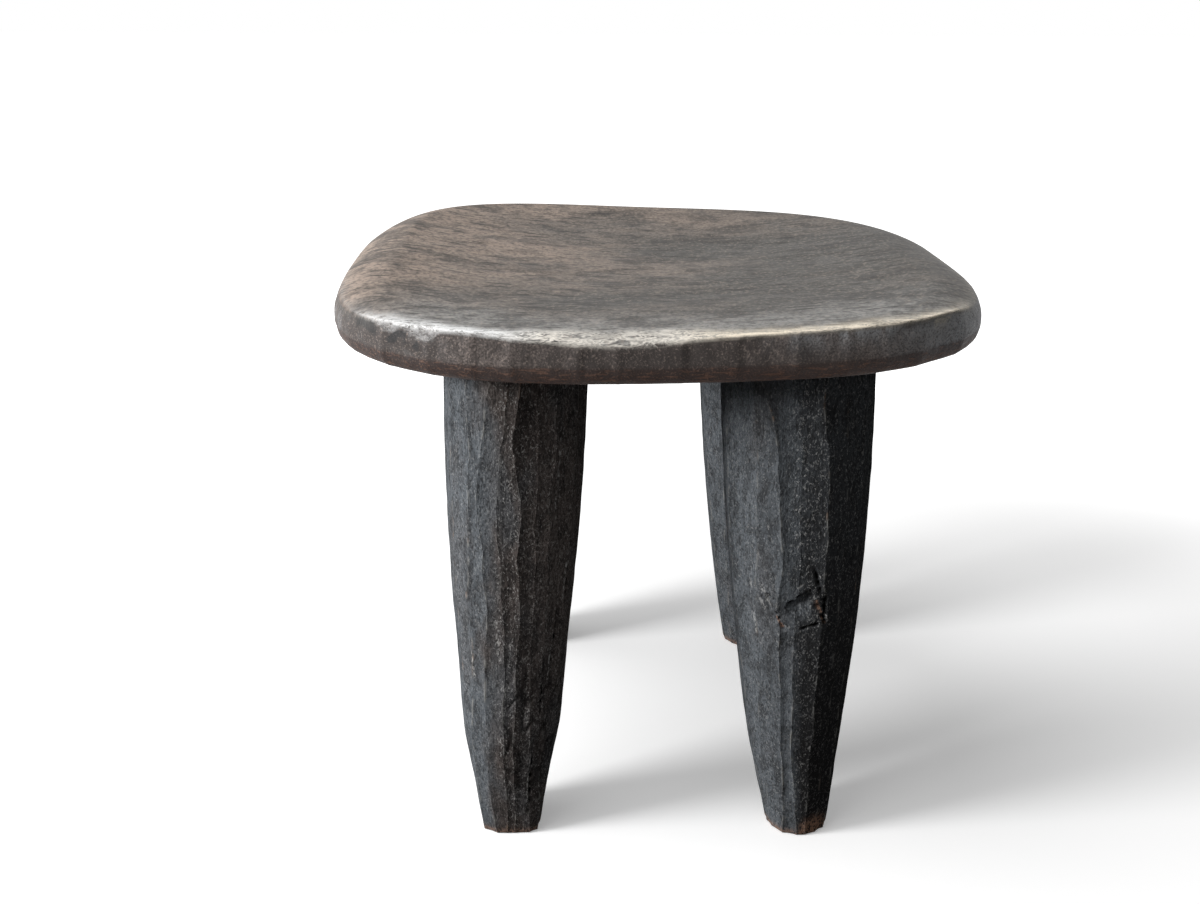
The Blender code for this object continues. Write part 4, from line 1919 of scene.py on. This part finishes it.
def front_right_leg() -> Leg:
    """The front right leg, painted dark as shade on its lee side, with the knot and a foot rubbed raw at one
    corner.

    Returns:
        The leg.
    """
    return Leg(
        LegPlace.FRONT_RIGHT,
        seed=5,
        ridges=(
            Ridge((-170, -168, -166, -165, -164, -164, -163, -162, -160, -159), 0.8, 0.8),
            Ridge((-150, -146, -143, -140, -137, -134, -131, -128, -128, -127), 0.6, 0.5),
            Ridge((-122, -115, -112, -112, -112, -112, -108, -109, -110, -121)),
            Ridge((-95, -98, -100, -100, -99, -97, -93, -93, -94, -96), 1.0, 0.0),
            Ridge((-80, -79, -77, -76, -75, -74, -73, -73, -74, -79)),
            Ridge((-57, -58, -57, -55, -57, -58, -57, -55, -57, -60), 0.6, 0.8),
            Ridge((-36, -34, -36, -38, -37, -35, -38, -40, -38, -37)),
            Ridge((-11, -12, -12, -13, -12, -11, -12, -13, -12, -12)),
        ),
        cuts=(
            Cut((-107, 0.1520), (-84, 0.1635), 0.0165, 0.0024, CutKind.CHIP, dark=False),
            Cut((-105, 0.1538), (-88, 0.1618), 0.0011, 0.0016, broken=0.7),
            Cut((-94, 0.1392), (-70, 0.1438), 0.0013, 0.0018, broken=0.7),
            Cut((-70, 0.1620), (-71, 0.1400), 0.0075, 0.0020, CutKind.CHIP),
            Cut((-82, 0.1760), (-75, 0.1600), 0.0012, 0.0014, broken=0.7),
            Cut((-124, 0.1585), (-114, 0.1565), 0.0010, 0.0012, broken=0.7),
            Cut((-127, 0.1575), (-104, 0.1390), 0.0075, 0.0020, CutKind.CHIP, dark=False),
            Cut((-124, 0.1580), (-107, 0.1440), 0.0017, 0.0015, broken=0.5),
            Cut((-113, 0.1475), (-106, 0.1400), 0.0026, 0.0007, CutKind.CHIP, raw=0.9),
            Cut((-79, 0.1570), (-73, 0.1490), 0.0026, 0.0007, CutKind.CHIP, raw=0.7),
            Cut((-75, 0.1490), (-70, 0.1425), 0.0018, 0.0005, CutKind.CHIP, raw=0.7),
            scratch((-131, 0.1640), (-120, 0.1520), 0.30),
            scratch((-128, 0.1640), (-117, 0.1505), 0.30),
            scratch((-134, 0.1580), (-122, 0.1450), 0.25),
            scratch((-139, 0.1480), (-136, 0.1280), 0.30, width=0.0011),
            scratch((-141, 0.1700), (-139, 0.1520), 0.25),
            scratch((-108, 0.1420), (-94, 0.1385), 0.35, 0.8),
            scratch((-72, 0.1500), (-66, 0.1410), 0.7, 0.8),
            scratch((-97, 0.1640), (-86, 0.1680), 0.30, 0.8),
        ),
        patches=(WornPatch(-62.0, 0.003, 0.0095, 1.0),),
        knots=(Knot(-96.0, 0.152, 0.018, 0.0011),),
        tones=LegTones(warmth=-0.12, painted_lee_shade=0.96),
        girth=0.0035,
        foot_shift=(0.0013, -0.0018),
        foot_square=0.2,
        foot_radius=0.0176,
        mid_radius=0.0343,
    )


def rear_right_leg() -> Leg:
    """The rear right leg, with the two straight ridges of the side that shows.

    Returns:
        The leg.
    """
    ridges = tuple(Ridge((angle,) * len(RIDGE_STATIONS)) for angle in (172.0, 198.0))
    return Leg(LegPlace.REAR_RIGHT, seed=13, ridges=ridges, girth=0.0030)


@dataclass(frozen=True)
class PaleFloor:
    """A pale matt floor that runs out into white."""

    name: str = "pale_floor"
    pale: Colour = (0.94, 0.94, 0.94)
    bounce: Colour = (0.06, 0.06, 0.06)
    matt: float = 0.9
    specular: float = 0.0
    glow: Ramp = Ramp(0.45, 1.0, 0.27, 1.0)

    def material(self) -> bpy.types.Material:
        """Draw the nodes of the finish.

        Returns:
            The finished material.
        """
        sketch = NodeSketch(bpy.data.materials.new(self.name))
        seen = sketch.seen()
        sketch.finish(sketch.blend(seen, self.bounce, self.pale), self.matt, self.specular)
        where = sketch.add("ShaderNodeTexCoord")
        reach = sketch.add("ShaderNodeVectorMath")
        reach.operation = "LENGTH"
        sketch.feed(reach.inputs[0], where.outputs["Object"])
        glow = sketch.join(Sum.TIMES, sketch.band(reach.outputs["Value"], self.glow), seen)
        white = sketch.add("ShaderNodeEmission")
        sketch.fill(white, {"Color": WHITE, "Strength": glow})
        both = sketch.add("ShaderNodeAddShader")
        sketch.feed(both.inputs[0], sketch.tree.nodes["Principled BSDF"].outputs["BSDF"])
        sketch.feed(both.inputs[1], white.outputs["Emission"])
        sketch.fill(sketch.tree.nodes["Material Output"], {"Surface": both.outputs["Shader"]})
        return sketch.owner


@dataclass(frozen=True)
class SoftLamp:
    """A soft box that shines at the stool from one side."""

    name: str
    turn: float
    rise: float
    distance: float
    size: float
    power: float
    aim: float = 0.17

    def hang(self) -> None:
        """Hang the lamp, facing the stool."""
        data = bpy.data.lights.new(self.name, "AREA")
        data.shape = "DISK"
        data.size = self.size
        data.energy = self.power
        lamp = bpy.data.objects.new(self.name, data)
        turn = Matrix.Rotation(math.radians(self.turn), 3, "Z")
        outward = (turn @ Matrix.Rotation(math.radians(-self.rise), 3, "Y")).col[0]
        lamp.location = outward * self.distance
        lamp.location.z += self.aim
        lamp.rotation_euler = outward.to_track_quat("Z", "Y").to_euler()
        bpy.context.scene.collection.objects.link(lamp)


@dataclass(frozen=True)
class Viewpoint:
    """The camera, where the photograph was taken from, with its turns in radians."""

    name: str = "viewpoint"
    place: Triple = (-0.0357, -0.7431, 0.4556)
    yaw: float = 0.0104
    pitch: float = 0.3439
    roll: float = 0.0044
    lens: float = 37.5
    sensor: float = 36.0
    nearest: float = 0.01

    def set_up(self) -> None:
        """Set up the camera."""
        data = bpy.data.cameras.new(self.name)
        data.lens = self.lens
        data.sensor_width = self.sensor
        data.sensor_fit = "HORIZONTAL"
        data.clip_start = self.nearest
        camera = bpy.data.objects.new(self.name, data)
        upright = Matrix.Rotation(math.pi / 2.0 - self.pitch, 4, "X")
        heading = Matrix.Rotation(-self.yaw, 4, "Z")
        lean = Matrix.Rotation(self.roll, 4, "Z")
        camera.matrix_world = Matrix.Translation(self.place) @ heading @ upright @ lean
        bpy.context.scene.collection.objects.link(camera)
        bpy.context.scene.camera = camera


@dataclass(frozen=True)
class Studio:
    """The pale floor, the lamps, the white surroundings and the camera."""

    floor_side: float = 40.0
    dim: float = 0.20
    lamps: Tuple[SoftLamp, ...] = (
        SoftLamp("left_lamp", turn=-161.0, rise=18.0, distance=1.8, size=0.55, power=35.0),
        SoftLamp("overhead_lamp", turn=-168.0, rise=63.0, distance=2.0, size=2.0, power=31.0),
    )

    def build(self) -> None:
        """Lay the floor, hang the lamps and set up the surroundings and the camera."""
        self.lay_floor()
        for lamp in self.lamps:
            lamp.hang()
        self.surround()
        Viewpoint().set_up()
        bpy.context.scene.view_settings.view_transform = "Standard"

    def lay_floor(self) -> None:
        """Lay the floor under the stool."""
        half = self.floor_side / 2.0
        corners = [(-half, -half, 0.0), (half, -half, 0.0), (half, half, 0.0), (-half, half, 0.0)]
        mesh = bpy.data.meshes.new("floor")
        mesh.from_pydata(corners, [], [(0, 1, 2, 3)])
        mesh.materials.append(PaleFloor().material())
        floor = bpy.data.objects.new("floor", mesh)
        bpy.context.scene.collection.objects.link(floor)

    def surround(self) -> None:
        """Make the surroundings white to look at, and dim as a light."""
        sketch = NodeSketch(bpy.data.worlds.new("surroundings"))
        level = sketch.band(sketch.seen(), Ramp(least=self.dim))
        sketch.fill(sketch.tree.nodes["Background"], {"Color": WHITE, "Strength": level})
        bpy.context.scene.world = sketch.owner


def main() -> None:
    """Carve the stool, dress it and set up the studio."""
    logging.basicConfig(level=logging.INFO, format="%(name)s: %(message)s")
    seat = Seat()
    piece = seat.build()
    seat.dress(piece)
    log.info("%s: %d faces", piece.name, len(piece.data.polygons))
    leg_wood = LegWood().material()
    for leg in (front_left_leg(), front_right_leg(), Leg(LegPlace.REAR_LEFT, seed=8), rear_right_leg()):
        piece = leg.build(leg_wood)
        leg.dress(piece)
        log.info("%s: %d faces, %d ridges", piece.name, len(piece.data.polygons), len(leg.ridges))
    Studio().build()


if __name__ == "__main__":
    main()
